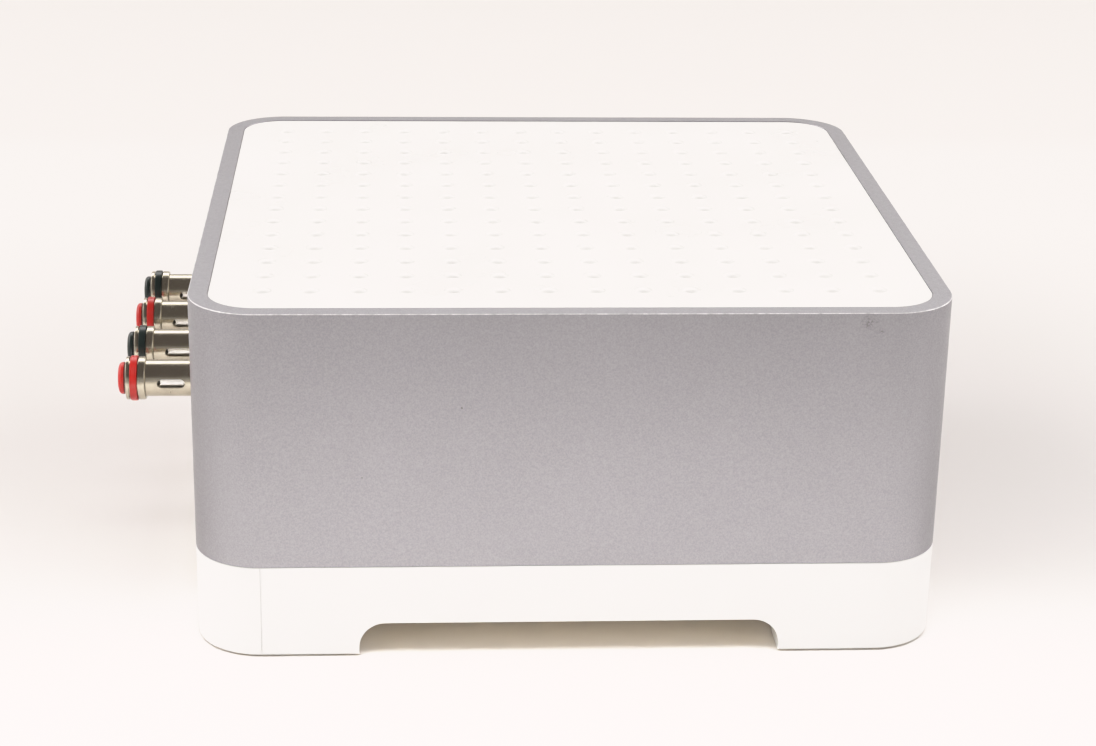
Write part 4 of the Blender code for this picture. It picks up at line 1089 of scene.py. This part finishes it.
# ---------------------------------------------------------------- light and tone
# Left is +Y and right is -Y, as the camera sees them.
SKY = (1.32, 1.30, 1.28)
FRONT_LOW = (0.5, 0.49, 0.485)
LEFT_LOW = (1.1, 1.07, 1.04)
RIGHT_LOW = (0.58, 0.56, 0.555)
BACK_HIGH = (3.85, 3.78, 3.70)
DARK = (0.14, 0.125, 0.12)
SOFTBOX = (3.8, 3.7, 3.62)
SOFTBOX_NEAR = (1.3, 1.27, 1.24)
LAMP_COLOUR = (1.0, 0.985, 0.965)

# The red, green and blue curves come first and set the tint of the whites, and the shoulder follows.
WHITE_LEVEL = 1.8
CURVE_AT = (0.222, 0.333, 0.444, 0.528, 0.583, 0.667)
WARM_RED = (0.222, 0.333, 0.444, 0.528, 0.583, 0.667, 1.0)
WARM_GREEN = (0.222, 0.333, 0.441, 0.515, 0.548, 0.566, 0.585)
WARM_BLUE = (0.222, 0.333, 0.440, 0.507, 0.535, 0.550, 0.570)
SHOULDER = (0.4, 0.6, 0.795, 0.905, 0.950, 0.978, 0.995)


def front_lamp(name, place, size, target, power, lit, spread=math.pi):
    """A soft source in front. It doesn't light the glossy cover, which the world lights alone."""
    data = bpy.data.lights.new(name, "AREA")
    data.shape = "RECTANGLE"
    data.size, data.size_y = size
    data.energy = power
    data.color = LAMP_COLOUR
    data.spread = spread
    lamp = bpy.data.objects.new(name, data)
    lamp.location = place
    lamp.rotation_euler = (Vector(target) - Vector(place)).to_track_quat("-Z", "Y").to_euler()
    lamp.visible_glossy = False
    bpy.context.scene.collection.objects.link(lamp)
    lamp.light_linking.receiver_collection = lit


def make_world():
    """A white studio: a large soft source on each side, and a dark ceiling behind and over the camera."""
    world = bpy.data.worlds.new("studio")
    bpy.context.scene.world = world
    world.use_nodes = True
    nodes, links = world.node_tree.nodes, world.node_tree.links
    background = nodes["Background"]
    coords = nodes.new("ShaderNodeTexCoord")
    split = nodes.new("ShaderNodeSeparateXYZ")
    links.new(coords.outputs["Generated"], split.inputs["Vector"])
    x, y, z = split.outputs

    def step(value, low, high):
        return smooth(nodes, links, value, low, high)

    def both(first, second):
        return calculated(nodes, links, "MULTIPLY", first, second)

    aside = calculated(nodes, links, "ABSOLUTE", y)
    over_the_camera = both(both(step(z, 0.24, 0.42), step(x, 0.68, 0.38)), step(aside, 0.60, 0.38))
    high_beside = both(step(aside, 0.5, 0.72), step(z, 0.25, 0.45))
    high_behind = both(step(x, 0.3, 0.6), step(z, 0.4, 0.6))
    softbox = mixed(nodes, links, step(x, 0.1, -0.5), SOFTBOX, SOFTBOX_NEAR)
    sky = mixed(nodes, links, step(x, 0.1, -0.4), SKY, FRONT_LOW)
    sky = mixed(nodes, links, step(y, 0.35, 0.8), sky, LEFT_LOW)
    sky = mixed(nodes, links, step(y, -0.35, -0.8), sky, RIGHT_LOW)
    sky = mixed(nodes, links, high_behind, sky, BACK_HIGH)
    sky = mixed(nodes, links, high_beside, sky, softbox)
    links.new(mixed(nodes, links, over_the_camera, sky, DARK), background.inputs["Color"])
    background.inputs["Strength"].default_value = 1.0


def make_lamps():
    lit = bpy.data.collections.new("lit_from_the_front")
    for obj in bpy.context.scene.objects:
        if obj.type == "MESH" and obj.name != "top_cover_shell":
            lit.objects.link(obj)
    side_size, side_target = (0.7, 0.7), (-0.08, 0, 0.02)
    front_lamp("front_left", (-0.85, 0.9, 0.65), side_size, side_target, 2.0, lit)
    front_lamp("front_right", (-0.85, -0.9, 0.65), side_size, side_target, 1.3, lit)
    front_lamp(
        "over_the_front", (-0.19, 0.0, 0.28), (0.36, 0.08), (-0.15, 0.0, 0), 0.29, lit,
        spread=math.radians(80),
    )


def set_tone(scene):
    """The photograph-like response: straight up to mid greys, then a soft shoulder into a warm white."""
    settings = scene.view_settings
    settings.view_transform = "Standard"
    settings.use_curve_mapping = True
    curves = settings.curve_mapping
    curves.white_level = (WHITE_LEVEL, WHITE_LEVEL, WHITE_LEVEL)
    curves.extend = "HORIZONTAL"
    for curve, shape in zip(curves.curves, (WARM_RED, WARM_GREEN, WARM_BLUE, SHOULDER)):
        curve.points[1].location = (1.0, shape[-1])
        for place, shown in zip(CURVE_AT, shape[:-1]):
            curve.points.new(place, shown)
    curves.update()


# ---------------------------------------------------------------- camera
SENSOR_WIDTH = 36.0
LENS = 79.6786
# how far the camera is from the middle of the case's near side, at the floor
CAMERA_BACK, CAMERA_LEFT, CAMERA_UP = 538.31 * MM, 42.30 * MM, 275.22 * MM
YAW, PITCH, ROLL = 0.06596, 0.35621, 0.01929


def make_camera():
    forward = Vector((math.cos(YAW) * math.cos(PITCH), -math.sin(YAW) * math.cos(PITCH), -math.sin(PITCH)))
    side = forward.cross(Vector((0, 0, 1))).normalized()
    up = side.cross(forward)
    right = side * math.cos(ROLL) + up * math.sin(ROLL)
    above = up * math.cos(ROLL) - side * math.sin(ROLL)
    data = bpy.data.cameras.new("camera")
    data.sensor_width = SENSOR_WIDTH
    data.lens = LENS
    data.clip_start, data.clip_end = 0.01, 50
    camera = bpy.data.objects.new("camera", data)
    place = Vector((-HALF - CAMERA_BACK, CENTRE_Y + CAMERA_LEFT, CAMERA_UP))
    rows = [(right[k], above[k], -forward[k], place[k]) for k in range(3)]
    camera.matrix_world = Matrix((*rows, (0, 0, 0, 1)))
    bpy.context.scene.collection.objects.link(camera)
    bpy.context.scene.camera = camera


# ---------------------------------------------------------------- everything
make_band()
make_cover()
make_base()
make_panel()
make_feet()
for post in POSTS:
    make_post(post)
make_network_jacks()
make_phono_jacks()
make_mains_inlet()
make_buttons()
make_status_light()
dress_inside()
make_stage()
make_world()
make_lamps()
make_camera()
set_tone(bpy.context.scene)
